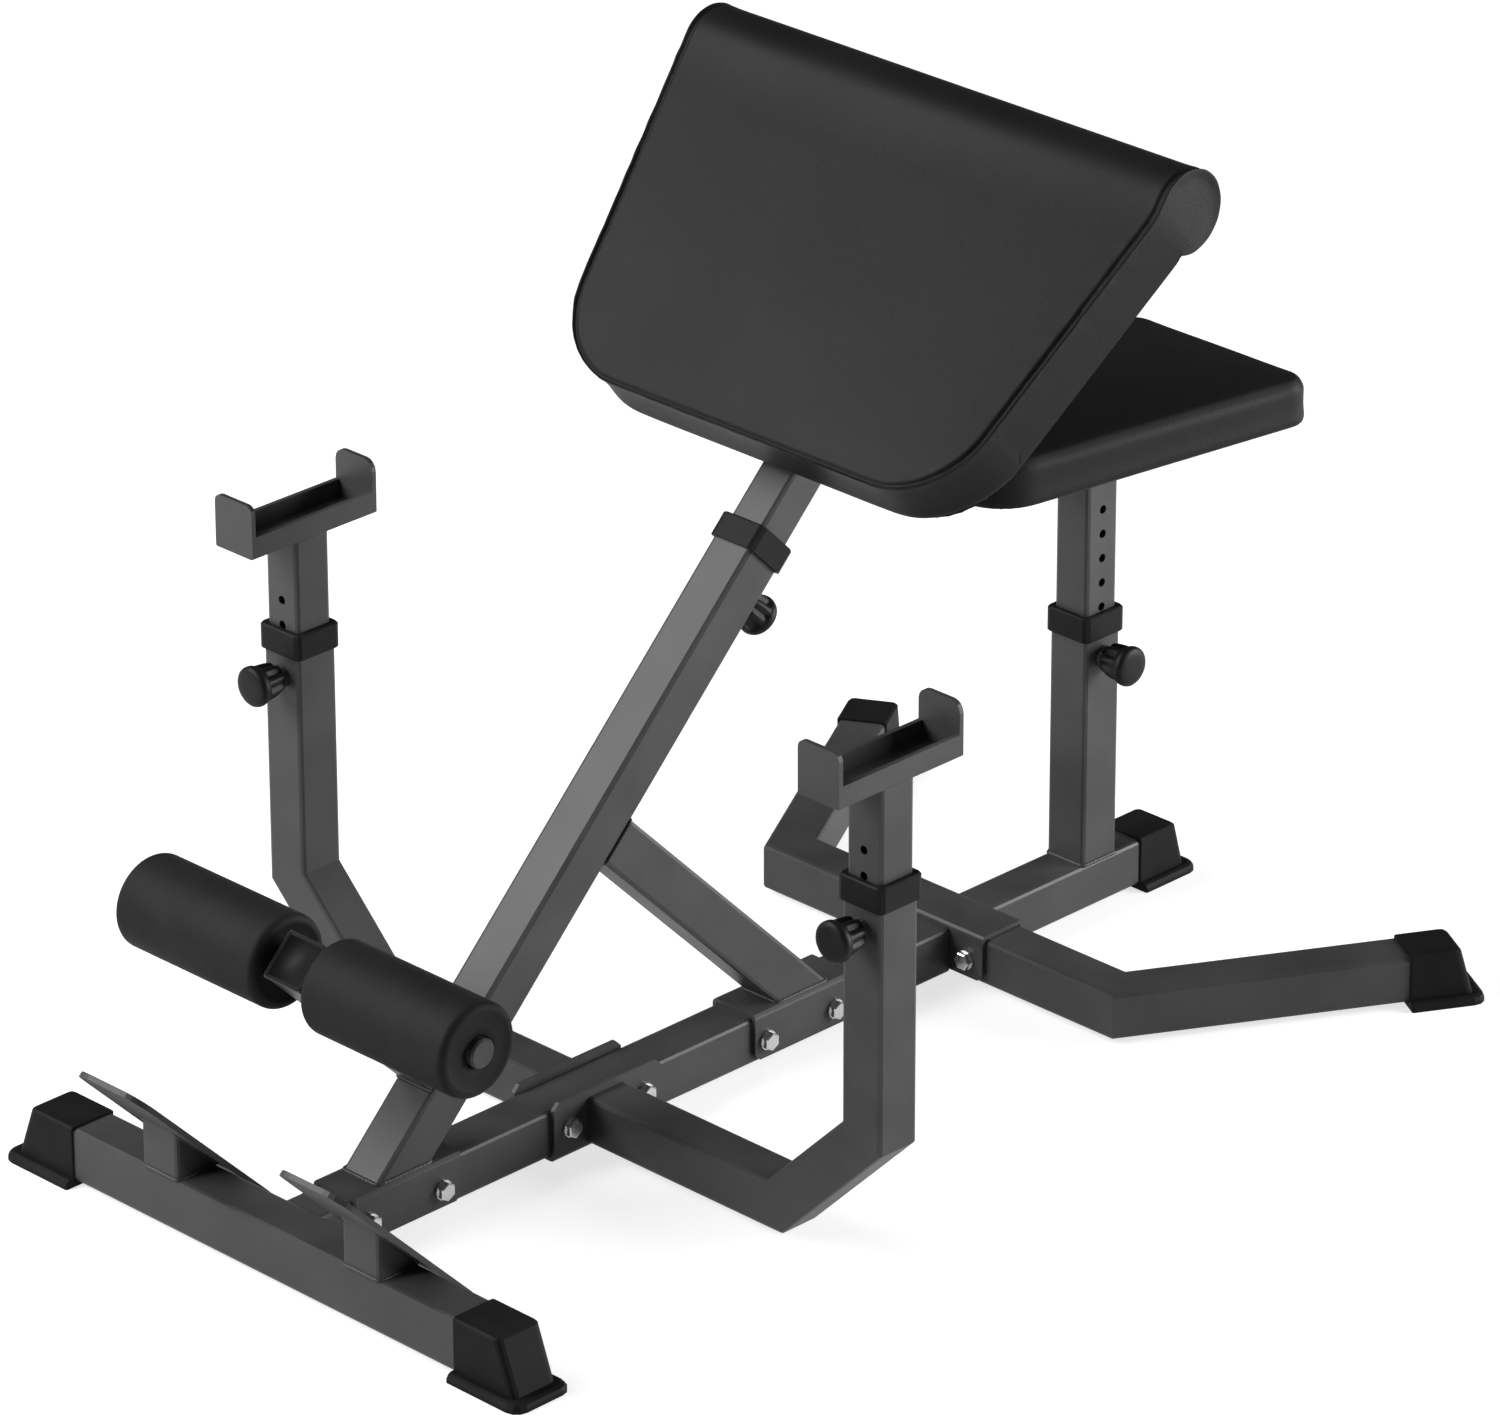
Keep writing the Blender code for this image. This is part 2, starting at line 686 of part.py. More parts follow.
def rounded_quad(corners, radii, inset, steps):
    """The outline of a four-sided panel with rounded corners, drawn in by an inset."""
    points = [Vector(corner) for corner in corners]
    count = len(points)
    lines = []
    for i in range(count):
        along = (points[(i + 1) % count] - points[i]).normalized()
        lines.append((points[i] + Vector((-along.y, along.x)) * inset, along))
    outline = []
    for i in range(count):
        before, after = lines[i - 1], lines[i]
        along = after[1]
        inward = Vector((-along.y, along.x))
        step = (after[0] - before[0]).dot(inward) / before[1].dot(inward)
        corner = before[0] + before[1] * step
        radius = max(radii[i] - inset, 0.001)
        turn = math.atan2(before[1].cross(after[1]), before[1].dot(after[1]))
        start = corner - before[1] * radius * math.tan(turn / 2)
        centre = start + Vector((-before[1].y, before[1].x)) * radius
        for k in range(steps + 1):
            arm = Matrix.Rotation(turn * k / steps, 2) @ (start - centre)
            outline.append(tuple(centre + arm))
    return outline


clear_scene()
PARTS = new_collection("roman_chair_preacher_bench")
CUTTERS = new_collection("cutters")
BENCH = bpy.data.objects.new("bench", None)
PARTS.objects.link(BENCH)
BENCH.location = (0, -ORIGIN_Y, 0)

ALONG_X = (1, 0, 0)
ALONG_Y = (0, 1, 0)
ALONG_Z = (0, 0, 1)
SIDES = (("left", -1), ("right", 1))
FRONT_CAP_POCKET = FRONT_CAP_LENGTH - CAP_END_WALL - FIT  # how far the tube reaches into its cap
REAR_CAP_POCKET = REAR_CAP_LENGTH - CAP_END_WALL - FIT

# Front cross tube with its foot caps, risers and foot plates
front_end = FRONT_SPAN / 2 + FRONT_CAP_POCKET
front_middle = FLOOR_CLEARANCE + FRONT_TUBE_HEIGHT / 2
new_part("front_cross_tube", tube(
    "front_cross_tube", [(-front_end, TUBE / 2, front_middle), (front_end, TUBE / 2, front_middle)],
    ALONG_Y, TUBE, FRONT_TUBE_HEIGHT,
), COAT)
plate_shift = FOOT_PLATE_LENGTH / 2 - FOOT_PLATE_OVERHANG
riser_top = FRONT_TUBE_TOP + RISER_HEIGHT
for side, sign in SIDES:
    foot_cap(
        "front_cap_" + side, FRONT_TUBE_HEIGHT, FRONT_CAP_LENGTH, FRONT_CAP_SLOPE,
        (sign * FRONT_SPAN / 2, TUBE / 2, 0), 0 if sign > 0 else math.pi,
    )
    riser_x = sign * RISER_SPACING / 2
    new_part("foot_riser_" + side, tube(
        "foot_riser_" + side,
        [(0, TUBE / 2, FRONT_TUBE_TOP + FIT), (0, TUBE / 2, riser_top - TUBE / 2 - FIT * 1.5)],
        ALONG_X, TUBE, cut_end=Vector((0, 1, 1)).normalized(),
    ), COAT, (riser_x, 0, 0))
    new_part("foot_plate_" + side, flat_plate("foot_plate_" + side, [round_rectangle(
        FOOT_PLATE_WIDTH, FOOT_PLATE_LENGTH, [FOOT_PLATE_CORNER] * 4, steps=6,
    )], FOOT_PLATE_THICKNESS), PLATE_COAT, (
        riser_x, plate_shift * math.cos(MITRE), riser_top - plate_shift * math.sin(MITRE),
    ), (-MITRE, 0, 0))

# Main beam, from the front cross tube to the rear bracket
beam_end = REAR_BASE_Y - SADDLE_HALF - FIT
beam = new_part("main_beam", tube(
    "main_beam", [(0, TUBE + FIT, TUBE_MIDDLE), (0, beam_end, TUBE_MIDDLE)], ALONG_X, TUBE,
), COAT)
saddle_bolts = [
    (name, saddle_y + SADDLE_BOLT_SHIFT + step * BOLT_SPACING / 2, SADDLE_BOLT_HEIGHT)
    for name, saddle_y in (("post_saddle", POST_SADDLE_Y), ("brace_saddle", BRACE_SADDLE_Y))
    for step in (-1, 1)
]
saddle_bolts += [
    ("rack_saddle", RACK_SADDLE_Y + step * RACK_BOLT_SPACING / 2, RACK_BOLT_HEIGHT)
    for step in (-1, 1)
]
cut(beam, bores(
    "main_beam", BOLT_DIAMETER + 2 * FIT, [(0, y, z) for name, y, z in saddle_bolts], ALONG_X, TUBE,
))

# Saddles over and under the beam, each with two through bolts
for name, saddle_y in (("post_saddle", POST_SADDLE_Y), ("brace_saddle", BRACE_SADDLE_Y)):
    saddle = new_part(name, bent_plate(
        name, SADDLE_LENGTH, SADDLE_HALF, SADDLE_TOP - SADDLE_FOOT, SADDLE_WALL, SADDLE_BEND,
        SADDLE_CHAMFER,
    ), COAT, (0, saddle_y, SADDLE_TOP))
    thickened(saddle, SADDLE_WALL)
    cut(saddle, bores(name, BOLT_DIAMETER + 2 * FIT, [
        (0, SADDLE_BOLT_SHIFT + step * BOLT_SPACING / 2, SADDLE_BOLT_HEIGHT - SADDLE_TOP)
        for step in (-1, 1)
    ], ALONG_X, TUBE))
rack_saddle_bottom = FLOOR_CLEARANCE - FIT - SADDLE_WALL
rack_saddle = new_part("rack_saddle", bent_plate(
    "rack_saddle", RACK_SADDLE_LENGTH, SADDLE_HALF, RACK_SADDLE_HEIGHT - rack_saddle_bottom,
    SADDLE_WALL, SADDLE_BEND, SADDLE_CHAMFER,
), COAT, (0, RACK_SADDLE_Y, rack_saddle_bottom), (0, math.pi, 0))
thickened(rack_saddle, SADDLE_WALL)
cut(rack_saddle, bores("rack_saddle", BOLT_DIAMETER + 2 * FIT, [
    (0, step * RACK_BOLT_SPACING / 2, rack_saddle_bottom - RACK_BOLT_HEIGHT) for step in (-1, 1)
], ALONG_X, TUBE))
for number, (name, y, z) in enumerate(saddle_bolts):
    bolt(
        name + "_bolt_" + ("front", "rear")[number % 2], 2 * SADDLE_HALF, (0, y, z),
        (0, math.radians(90), 0),
    )

# Slanted post, with an axis system that has its Z along the post and its -Y towards the pad's face
POST = new_axis("post_line", (0, POST_FOOT_Y, SADDLE_TOP), (-MITRE, 0, 0))
LEVEL_CUT = (0, -math.sin(MITRE), math.cos(MITRE))  # a level plane in the post's axes
foot_gap = FIT / math.cos(MITRE)
post = new_part("post_tube", tube(
    "post_tube", [(0, 0, foot_gap), (0, 0, POST_LENGTH - FIT)], ALONG_X, TUBE, cut_start=LEVEL_CUT,
), COAT, parent=POST)
add_pin_housing(post, (0, TUBE / 2, POST_PIN_AT), ALONG_Y)
collar("post_collar", (0, 0, POST_LENGTH), POST)

# Brace, square to the post and down to its own saddle
new_part("brace_tube", tube(
    "brace_tube", [(0, TUBE / 2 + FIT, BRACE_AT), (0, BRACE_AT - foot_gap, BRACE_AT)],
    ALONG_X, TUBE, cut_end=LEVEL_CUT,
), COAT, parent=POST)

# Stub for the rollers, square to the post, with a plate that closes its end
stub_start = TUBE / 2 + FIT
stub_end = stub_start + STUB_LENGTH
stub = new_part("roller_stub", tube(
    "roller_stub", [(0, -stub_start, STUB_AT), (0, -stub_end, STUB_AT)], ALONG_X, TUBE,
), COAT, parent=POST)
cut(stub, rounded_edges(box(
    "roller_stub", (TUBE + 0.001, STUB_CAP, TUBE + 0.001),
    (0, -stub_end - STUB_CAP / 2 + TUBE_WALL / 2, STUB_AT),
), 0.001, 1), "UNION")
cut(stub, cylinder("roller_stub", AXLE_DIAMETER + 2 * FIT, -TUBE, TUBE, 24))
stub_bore = stub.modifiers[-1].object
stub_bore.location = (0, -AXLE_REACH, STUB_AT)
stub_bore.rotation_euler = (0, math.radians(90), 0)

# Axle through the stub, its end caps and the foam rollers that turn on it
AXLE = new_axis("axle_line", (0, -AXLE_REACH, STUB_AT), (0, math.radians(90), 0), POST)
axle_outer = AXLE_DIAMETER / 2
axle_inner = axle_outer - AXLE_WALL
axle_end = AXLE_LENGTH / 2
turned(new_part("roller_axle", profile("roller_axle", [
    (axle_outer, axle_end), (axle_outer, -axle_end), (axle_inner, -axle_end),
    (axle_inner, axle_end),
], closed=True), STEEL, parent=AXLE), 24)
roller_start = ROLLER_INSIDE - ROLLER_LENGTH / 2
roller_outer = ROLLER_DIAMETER / 2
for side, sign in SIDES:
    turned(new_part("axle_cap_" + side, profile("axle_cap_" + side, [
        (0, FIT + AXLE_CAP_THICKNESS),
        (AXLE_CAP_DIAMETER / 2 - 0.002, FIT + AXLE_CAP_THICKNESS),
        (AXLE_CAP_DIAMETER / 2, FIT + AXLE_CAP_THICKNESS - 0.002),
        (AXLE_CAP_DIAMETER / 2, FIT),
        (axle_inner - FIT, FIT),
        (axle_inner - FIT, -AXLE_CAP_PLUG),
        (0, -AXLE_CAP_PLUG),
    ], closed=False), MOULDED, (0, 0, sign * axle_end), (0 if sign > 0 else math.pi, 0, 0),
        parent=AXLE), 24)
    half = ROLLER_LENGTH / 2
    bore = axle_outer + RUN
    face = roller_outer - ROLLER_EDGE
    groove = half - ROLLER_GROOVE_AT
    outside = [
        (bore, half), (face, half), (roller_outer - 0.002, half - 0.002),
        (roller_outer, half - ROLLER_EDGE), (roller_outer, groove + 0.002),
        (roller_outer - ROLLER_GROOVE, groove), (roller_outer, groove - 0.002),
    ]
    mirrored = [(radius, -height) for radius, height in reversed(outside)]
    turned(new_part("foam_roller_" + side, profile(
        "foam_roller_" + side, outside + mirrored, closed=True,
    ), FOAM, (0, 0, sign * (ROLLER_INSIDE + half)), parent=AXLE), 28)

# Rack: two tubes that run out from the rack saddle and turn up, with collars and pin housings
elbow = (RACK_WIDTH / 2 - RACK_ELBOW, RACK_WIDTH / 2)
for side, sign in SIDES:
    rack = new_part("rack_tube_" + side, tube("rack_tube_" + side, [
        (sign * (SADDLE_HALF + FIT), 0, TUBE_MIDDLE),
        (sign * elbow[0], 0, TUBE_MIDDLE),
        (sign * elbow[1], 0, TUBE_MIDDLE + RACK_ELBOW),
        (sign * elbow[1], 0, RACK_TUBE_TOP - FIT),
    ], ALONG_Y, TUBE), COAT, (0, RACK_Y, 0))
    add_pin_housing(rack, (sign * elbow[1], -TUBE / 2, RACK_PIN_HEIGHT), (0, -1, 0))
    collar("rack_collar_" + side, (sign * elbow[1], RACK_Y, RACK_TUBE_TOP))

# Rear base: a cross tube with two splayed arms, under a bent bracket that takes the main beam
arm = Vector((math.sin(REAR_ARM_SPLAY), math.cos(REAR_ARM_SPLAY), 0))
arm_ends = []
for side, sign in SIDES:
    start = Vector((sign * REAR_ARM_X, REAR_BASE_Y, TUBE_MIDDLE))
    run = Vector((sign * arm.x, arm.y, 0))
    arm_ends.append((start, run))
rear_base = new_part("rear_base", tube("rear_base", [
    arm_ends[0][0] + arm_ends[0][1] * (REAR_ARM_LENGTH + REAR_CAP_POCKET), arm_ends[0][0],
    arm_ends[1][0], arm_ends[1][0] + arm_ends[1][1] * (REAR_ARM_LENGTH + REAR_CAP_POCKET),
], ALONG_Z, TUBE), COAT)
rear_bolt_x = [step * REAR_BOLT_SPACING / 2 for step in (-1, 1)]
cut(rear_base, bores("rear_base", BOLT_DIAMETER + 2 * FIT, [
    (x, REAR_BASE_Y, SADDLE_BOLT_HEIGHT) for x in rear_bolt_x
], ALONG_Y, TUBE))
for (side, sign), (start, run) in zip(SIDES, arm_ends):
    cap_at = start + run * REAR_ARM_LENGTH
    foot_cap(
        "rear_cap_" + side, TUBE, REAR_CAP_LENGTH, REAR_CAP_SLOPE, (cap_at.x, cap_at.y, 0),
        math.atan2(run.y, run.x),
    )
bracket = new_part("rear_bracket", bent_plate(
    "rear_bracket", REAR_BRACKET_WIDTH, SADDLE_HALF, SADDLE_TOP - SADDLE_FOOT, SADDLE_WALL,
    SADDLE_BEND, SADDLE_CHAMFER,
), COAT, (0, REAR_BASE_Y, SADDLE_TOP), (0, 0, math.radians(90)))
thickened(bracket, SADDLE_WALL)
cut(bracket, bores("rear_bracket", BOLT_DIAMETER + 2 * FIT, [
    (0, x, SADDLE_BOLT_HEIGHT - SADDLE_TOP) for x in rear_bolt_x
], ALONG_X, TUBE))
for (side, sign), x in zip(SIDES, rear_bolt_x):
    bolt(
        "rear_bolt_" + side, 2 * SADDLE_HALF, (x, REAR_BASE_Y, SADDLE_BOLT_HEIGHT),
        (math.radians(90), 0, 0),
    )

# Rear beam and the seat's upright on it
rear_cap_y = REAR_BASE_Y + REAR_BEAM_END
new_part("rear_beam", tube("rear_beam", [
    (0, REAR_BASE_Y + SADDLE_HALF + FIT, TUBE_MIDDLE), (0, rear_cap_y + REAR_CAP_POCKET, TUBE_MIDDLE),
], ALONG_X, TUBE), COAT)
foot_cap(
    "rear_cap_centre", TUBE, REAR_CAP_LENGTH, REAR_CAP_SLOPE, (0, rear_cap_y, 0), math.radians(90),
)
seat_tube = new_part("seat_tube", tube("seat_tube", [
    (0, 0, TUBE_TOP + FIT), (0, 0, SEAT_TUBE_TOP - FIT),
], ALONG_X, TUBE), COAT, (0, SEAT_POST_Y, 0))
add_pin_housing(seat_tube, (TUBE / 2, 0, SEAT_PIN_HEIGHT), ALONG_X)
collar("seat_collar", (0, SEAT_POST_Y, SEAT_TUBE_TOP))


def sliding_tube(name, bottom, top, first_hole, below, above, outward, location, parent=None):
    """An inner tube with a row of holes for its spring pin in one face."""
    item = new_part(name, tube(
        name, [(0, 0, bottom), (0, 0, top)], ALONG_X, INNER_TUBE,
    ), COAT, location, parent=parent)
    reach = INNER_TUBE / 2
    outward = Vector(outward)
    return cut(item, bores(name, HOLE_DIAMETER, [
        outward * reach + Vector((0, 0, first_hole + step * HOLE_PITCH))
        for step in range(-below, above + 1)
    ], outward, reach / 2, 10))


# Seat: inner tube with its mounting plate, board and padded cushion
seat_inner = sliding_tube(
    "seat_inner_tube", SEAT_PLATE_HEIGHT - SEAT_INNER_LENGTH, SEAT_PLATE_HEIGHT + 0.001,
    SEAT_PIN_HEIGHT, *SEAT_HOLES, ALONG_X, (0, SEAT_POST_Y, 0),
)
cut(seat_inner, box(
    "seat_inner_tube", (SEAT_PLATE_WIDTH, SEAT_PLATE_LENGTH, SEAT_PLATE_THICKNESS),
    (0, 0, SEAT_PLATE_HEIGHT + SEAT_PLATE_THICKNESS / 2),
), "UNION")
seat_bottom = SEAT_PLATE_HEIGHT + SEAT_PLATE_THICKNESS + FIT
seat_front_half = SEAT_REAR_HALF_WIDTH - SEAT_LENGTH * math.tan(SEAT_SPLAY)
seat_corners = [
    (-seat_front_half, 0), (seat_front_half, 0), (SEAT_REAR_HALF_WIDTH, SEAT_LENGTH),
    (-SEAT_REAR_HALF_WIDTH, SEAT_LENGTH),
]
seat_radii = [SEAT_FRONT_CORNER, SEAT_FRONT_CORNER, SEAT_REAR_CORNER, SEAT_REAR_CORNER]


def seat_outline(inset, height, steps=5):
    return level(rounded_quad(seat_corners, seat_radii, inset, steps), height)


new_part("seat_board", ring_loft("seat_board", [
    seat_outline(BOARD_INSET, 0, 3), seat_outline(BOARD_INSET, BOARD_THICKNESS, 3),
]), PLYWOOD, (0, SEAT_FRONT_Y, seat_bottom))
seat_top = SEAT_THICKNESS
seat_rings = [
    seat_outline(0.002, 0),
    seat_outline(0, 0.003),
    seat_outline(PAD_PULL_IN / 2, seat_top * 0.45),
    seat_outline(0, seat_top - SEAT_EDGE - PAD_CROWN),
    seat_outline(SEAT_EDGE * 0.3, seat_top - SEAT_EDGE * 0.35 - PAD_CROWN),
    seat_outline(SEAT_EDGE, seat_top - PAD_CROWN),
    seat_outline(SEAT_EDGE * 2.5, seat_top - PAD_CROWN * 0.35),
    seat_outline(SEAT_EDGE * 4.5, seat_top),
]
seat_pad = new_part(
    "seat_pad", ring_loft("seat_pad", seat_rings), VINYL, (0, SEAT_FRONT_Y, seat_bottom),
)
cut(seat_pad, ring_loft("seat_pad_pocket", [
    seat_outline(BOARD_INSET - FIT, -0.01, 3),
    seat_outline(BOARD_INSET - FIT, BOARD_THICKNESS + FIT, 3),
]))

# Arm pad: inner tube, two cross channels, board and padded cushion with a rolled top
sliding_tube(
    "pad_inner_tube", PAD_INNER_BOTTOM, PAD_INNER_TOP, POST_PIN_AT, *POST_HOLES,
    ALONG_Y, (0, 0, 0), POST,
)
channel_height = PAD_UNDERSIDE - FIT - INNER_TUBE / 2 - FIT
for name, at in (("pad_channel_lower", CHANNEL_LOWER_AT), ("pad_channel_upper", CHANNEL_UPPER_AT)):
    channel = new_part(name, bent_plate(
        name, CHANNEL_LENGTH, CHANNEL_WIDTH / 2, channel_height, CHANNEL_WALL, CHANNEL_BEND, 0,
    ), COAT, (0, -PAD_UNDERSIDE + FIT, at), (math.radians(90), 0, math.radians(-90)), POST)
    channel.rotation_mode = "ZYX"
    thickened(channel, CHANNEL_WALL)

pad_half = PAD_LOWER_HALF_WIDTH
board_end = ROLL_AT - ROLL_RADIUS - 0.004
board_length = board_end - PAD_LOWER_EDGE
board_corners = [
    (-pad_half, PAD_LOWER_EDGE), (pad_half, PAD_LOWER_EDGE),
    (pad_half + PAD_TAPER * board_length, board_end),
    (-pad_half - PAD_TAPER * board_length, board_end),
]


def board_outline(inset, height):
    radii = [PAD_LOWER_CORNER, PAD_LOWER_CORNER, 0.02, 0.02]
    outline = rounded_quad(board_corners, radii, inset, 5)
    return [(x, -height, s) for x, s in outline]


new_part("pad_board", ring_loft("pad_board", [
    board_outline(BOARD_INSET, PAD_UNDERSIDE),
    board_outline(BOARD_INSET, PAD_UNDERSIDE + BOARD_THICKNESS),
]), PLYWOOD, parent=POST)


def pad_section():
    """The cushion's outline seen from the side, as (distance along the post, height)."""
    points = [
        (PAD_LOWER_EDGE, PAD_UNDERSIDE),
        (PAD_LOWER_EDGE + PAD_PULL_IN, (PAD_UNDERSIDE + PAD_FACE) / 2),
        (PAD_LOWER_EDGE, PAD_FACE - PAD_EDGE),
        (PAD_LOWER_EDGE + PAD_EDGE, PAD_FACE),
    ]
    blend = ROLL_AT - ROLL_BLEND
    for share in (0.2, 0.5, 0.8, 1.0):
        points.append((PAD_LOWER_EDGE + share * (blend - PAD_LOWER_EDGE), PAD_FACE))
    points.append((blend + 0.024, PAD_FACE + 0.0008))
    for degrees in range(106, -150, -15):
        angle = math.radians(degrees)
        points.append((
            ROLL_AT + ROLL_RADIUS * math.cos(angle), ROLL_HEIGHT + ROLL_RADIUS * math.sin(angle),
        ))
    points.append((ROLL_AT - ROLL_RADIUS - 0.002, PAD_UNDERSIDE))
    return points


def pad_point(across, at, height):
    """Places a point of the side outline at a share of the width, -1 to 1, of the cushion."""
    corner_start = 1 - PAD_LOWER_CORNER / PAD_LOWER_HALF_WIDTH
    rounded = max(abs(across) - corner_start, 0) * PAD_LOWER_HALF_WIDTH
    lift = PAD_LOWER_CORNER - math.sqrt(max(PAD_LOWER_CORNER ** 2 - rounded ** 2, 0))
    straight = ROLL_AT - ROLL_BLEND - PAD_LOWER_EDGE
    lowered = max(1 - (at - PAD_LOWER_EDGE) / straight, 0)
    if height > PAD_FACE - 1e-6 and at < ROLL_AT:
        height += PAD_CROWN * (1 - across ** 2) * (1 - abs(1 - 2 * lowered) ** 2)
    at += lift * lowered
    half = PAD_LOWER_HALF_WIDTH + PAD_TAPER * (at - PAD_LOWER_EDGE)
    return (across * min(half, PAD_UPPER_HALF_WIDTH), -height, at)


corner_share = PAD_LOWER_CORNER / PAD_LOWER_HALF_WIDTH
stations = [1 - corner_share * (1 - math.sin(math.radians(a))) for a in (0, 22, 42, 58, 72, 90)]
stations = [-s for s in reversed(stations)] + [-0.42, -0.14, 0.14, 0.42] + stations
section = pad_section()
cushion = bmesh.new()
cushion.from_mesh(ring_loft("pad_cushion", [
    [pad_point(across, at, height) for at, height in section] for across in stations
]))
ends = [face for face in cushion.faces if len(face.verts) == len(section)]
rims = {
    edge for face in ends for edge in face.edges if edge.calc_face_angle() > math.radians(30)
}
bmesh.ops.bevel(
    cushion, geom=list(rims), offset=PAD_EDGE, segments=2, profile=0.5, affect="EDGES",
    material=-1, clamp_overlap=True,
)
pad_cushion = new_part("pad_cushion", finished(cushion, "pad_cushion"), VINYL, parent=POST)
cut(pad_cushion, ring_loft("pad_pocket", [
    board_outline(BOARD_INSET - FIT, PAD_UNDERSIDE - 0.002),
    board_outline(BOARD_INSET - FIT, PAD_UNDERSIDE + BOARD_THICKNESS + FIT),
]))

# Bar cups on their inner tubes
cup_profile_front = [CUP_FRONT_CORNER, CUP_FRONT_CORNER, 0.002, 0.002]
cup_profile_rear = [CUP_REAR_CORNER, CUP_REAR_CORNER, 0.002, 0.002]
for side, sign in SIDES:
    sliding_tube(
        "rack_inner_" + side, CUP_FLOOR - FIT - RACK_INNER_LENGTH, CUP_FLOOR - FIT,
        RACK_PIN_HEIGHT, *RACK_HOLES, (0, -1, 0),
        (sign * RACK_WIDTH / 2, RACK_Y, 0),
    )
    name = "bar_cup_" + side
    ends = []
    for y, corners in ((-CUP_LENGTH / 2, cup_profile_front), (CUP_LENGTH / 2, cup_profile_rear)):
        outline = round_rectangle(CUP_WIDTH, CUP_END_HEIGHT, corners, steps=4)
        ends.append([(x, y, z + CUP_END_HEIGHT / 2) for x, z in outline])
    cup = new_part(name, ring_loft(name, ends), COAT, (sign * RACK_WIDTH / 2, RACK_Y, CUP_FLOOR))
    inside = (CUP_WIDTH - 2 * CUP_WALL, CUP_LENGTH - 2 * CUP_WALL, 2 * CUP_END_HEIGHT)
    cut(cup, box(name, inside, (0, 0, CUP_WALL + CUP_END_HEIGHT)))
    above_sides = (2 * CUP_WIDTH, CUP_LENGTH - 2 * CUP_WALL, 2 * CUP_END_HEIGHT)
    cut(cup, box(name, above_sides, (0, 0, CUP_SIDE_HEIGHT + CUP_END_HEIGHT)))
    spring_pin(
        "rack_" + side, (sign * RACK_WIDTH / 2, RACK_Y - TUBE / 2, RACK_PIN_HEIGHT),
        (math.radians(90), 0, 0),
    )

# Spring pins of the seat and of the arm pad
spring_pin(
    "seat", (TUBE / 2, SEAT_POST_Y, SEAT_PIN_HEIGHT), (0, math.radians(90), 0),
)
spring_pin("pad", (0, TUBE / 2, POST_PIN_AT), (math.radians(-90), 0, 0), POST)
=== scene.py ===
import math

import bmesh
import bpy
from mathutils import Matrix, Vector, kdtree, noise
from mathutils.bvhtree import BVHTree


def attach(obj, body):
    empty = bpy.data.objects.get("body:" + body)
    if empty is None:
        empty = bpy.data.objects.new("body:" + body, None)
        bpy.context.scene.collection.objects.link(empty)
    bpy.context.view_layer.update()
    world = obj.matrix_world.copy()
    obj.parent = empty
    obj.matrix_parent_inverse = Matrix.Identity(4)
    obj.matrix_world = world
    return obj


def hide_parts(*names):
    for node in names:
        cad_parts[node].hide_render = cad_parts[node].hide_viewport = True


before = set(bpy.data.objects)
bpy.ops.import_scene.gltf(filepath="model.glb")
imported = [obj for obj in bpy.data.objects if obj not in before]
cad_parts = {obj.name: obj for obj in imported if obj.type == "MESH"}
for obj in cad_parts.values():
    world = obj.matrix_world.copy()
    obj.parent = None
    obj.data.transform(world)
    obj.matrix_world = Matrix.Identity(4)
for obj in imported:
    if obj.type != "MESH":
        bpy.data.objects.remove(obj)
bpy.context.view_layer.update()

# Camera. It stands to the front right of the bench, about 25 degrees above level, with a long lens,
# so the tubes stay nearly parallel.
bpy.context.scene.view_settings.view_transform = "Standard"
lens = bpy.data.cameras.new("camera")
lens.lens = 208.55
lens.sensor_width = 36
lens.sensor_fit = "HORIZONTAL"
lens.clip_end = 100


def placed(name, data):
    """A new object in the scene."""
    made = bpy.data.objects.new(name, data)
    bpy.context.scene.collection.objects.link(made)
    return made


camera = placed("camera", lens)
around, above, tilt = math.radians(44.91), math.radians(25.07), math.radians(-0.11)
back = Vector((math.sin(around) * math.cos(above), -math.cos(around) * math.cos(above),
               math.sin(above)))
right = Vector((math.cos(around), math.sin(around), 0))
up = back.cross(right)
turned_right = right * math.cos(tilt) + up * math.sin(tilt)
turned_up = up * math.cos(tilt) - right * math.sin(tilt)
aim, distance = Vector((0.04198, -0.02301, 0.40199)), 8.37307
camera.matrix_world = Matrix((turned_right, turned_up, back)).transposed().to_4x4()
camera.matrix_world.translation = aim + back * distance
bpy.context.scene.camera = camera

# Frame tubes. Drawn steel square tube, 50 mm with a 2 mm wall, welded and then powder coated in
# charcoal. The coat is polyester powder baked on: satin, with waves about 3 mm apart, drawn a
# little coarse so that they show, and a faint mottle where the powder lay thicker.


def linear(code):
    """A hex colour as the linear values that the shaders mix."""
    shares = [int(code[i:i + 2], 16) / 255 for i in (1, 3, 5)]
    return [c / 12.92 if c <= 0.04045 else ((c + 0.055) / 1.055) ** 2.4 for c in shares] + [1]


def finish(name, colour, roughness, sheen=0.5, metallic=0):
    """A new material with its colour, roughness and strength of reflection set."""
    made = bpy.data.materials.new(name)
    made.use_nodes = True
    surface = made.node_tree.nodes["Principled BSDF"]
    surface.inputs["Specular IOR Level"].default_value = sheen
    surface.inputs["Metallic"].default_value = metallic
    surface.inputs["Base Color"].default_value = linear(colour)
    surface.inputs["Roughness"].default_value = roughness
    return made


def add(made, kind, joined=(), **settings):
    """Adds a node. Joined gives each input a value, or a socket to take it from."""
    node = made.node_tree.nodes.new("ShaderNode" + kind)
    for key, value in settings.items():
        setattr(node, key, value)
    for key, value in dict(joined).items():
        if isinstance(value, bpy.types.NodeSocket):
            made.node_tree.links.new(value, node.inputs[key])
        else:
            node.inputs[key].default_value = value
    return node


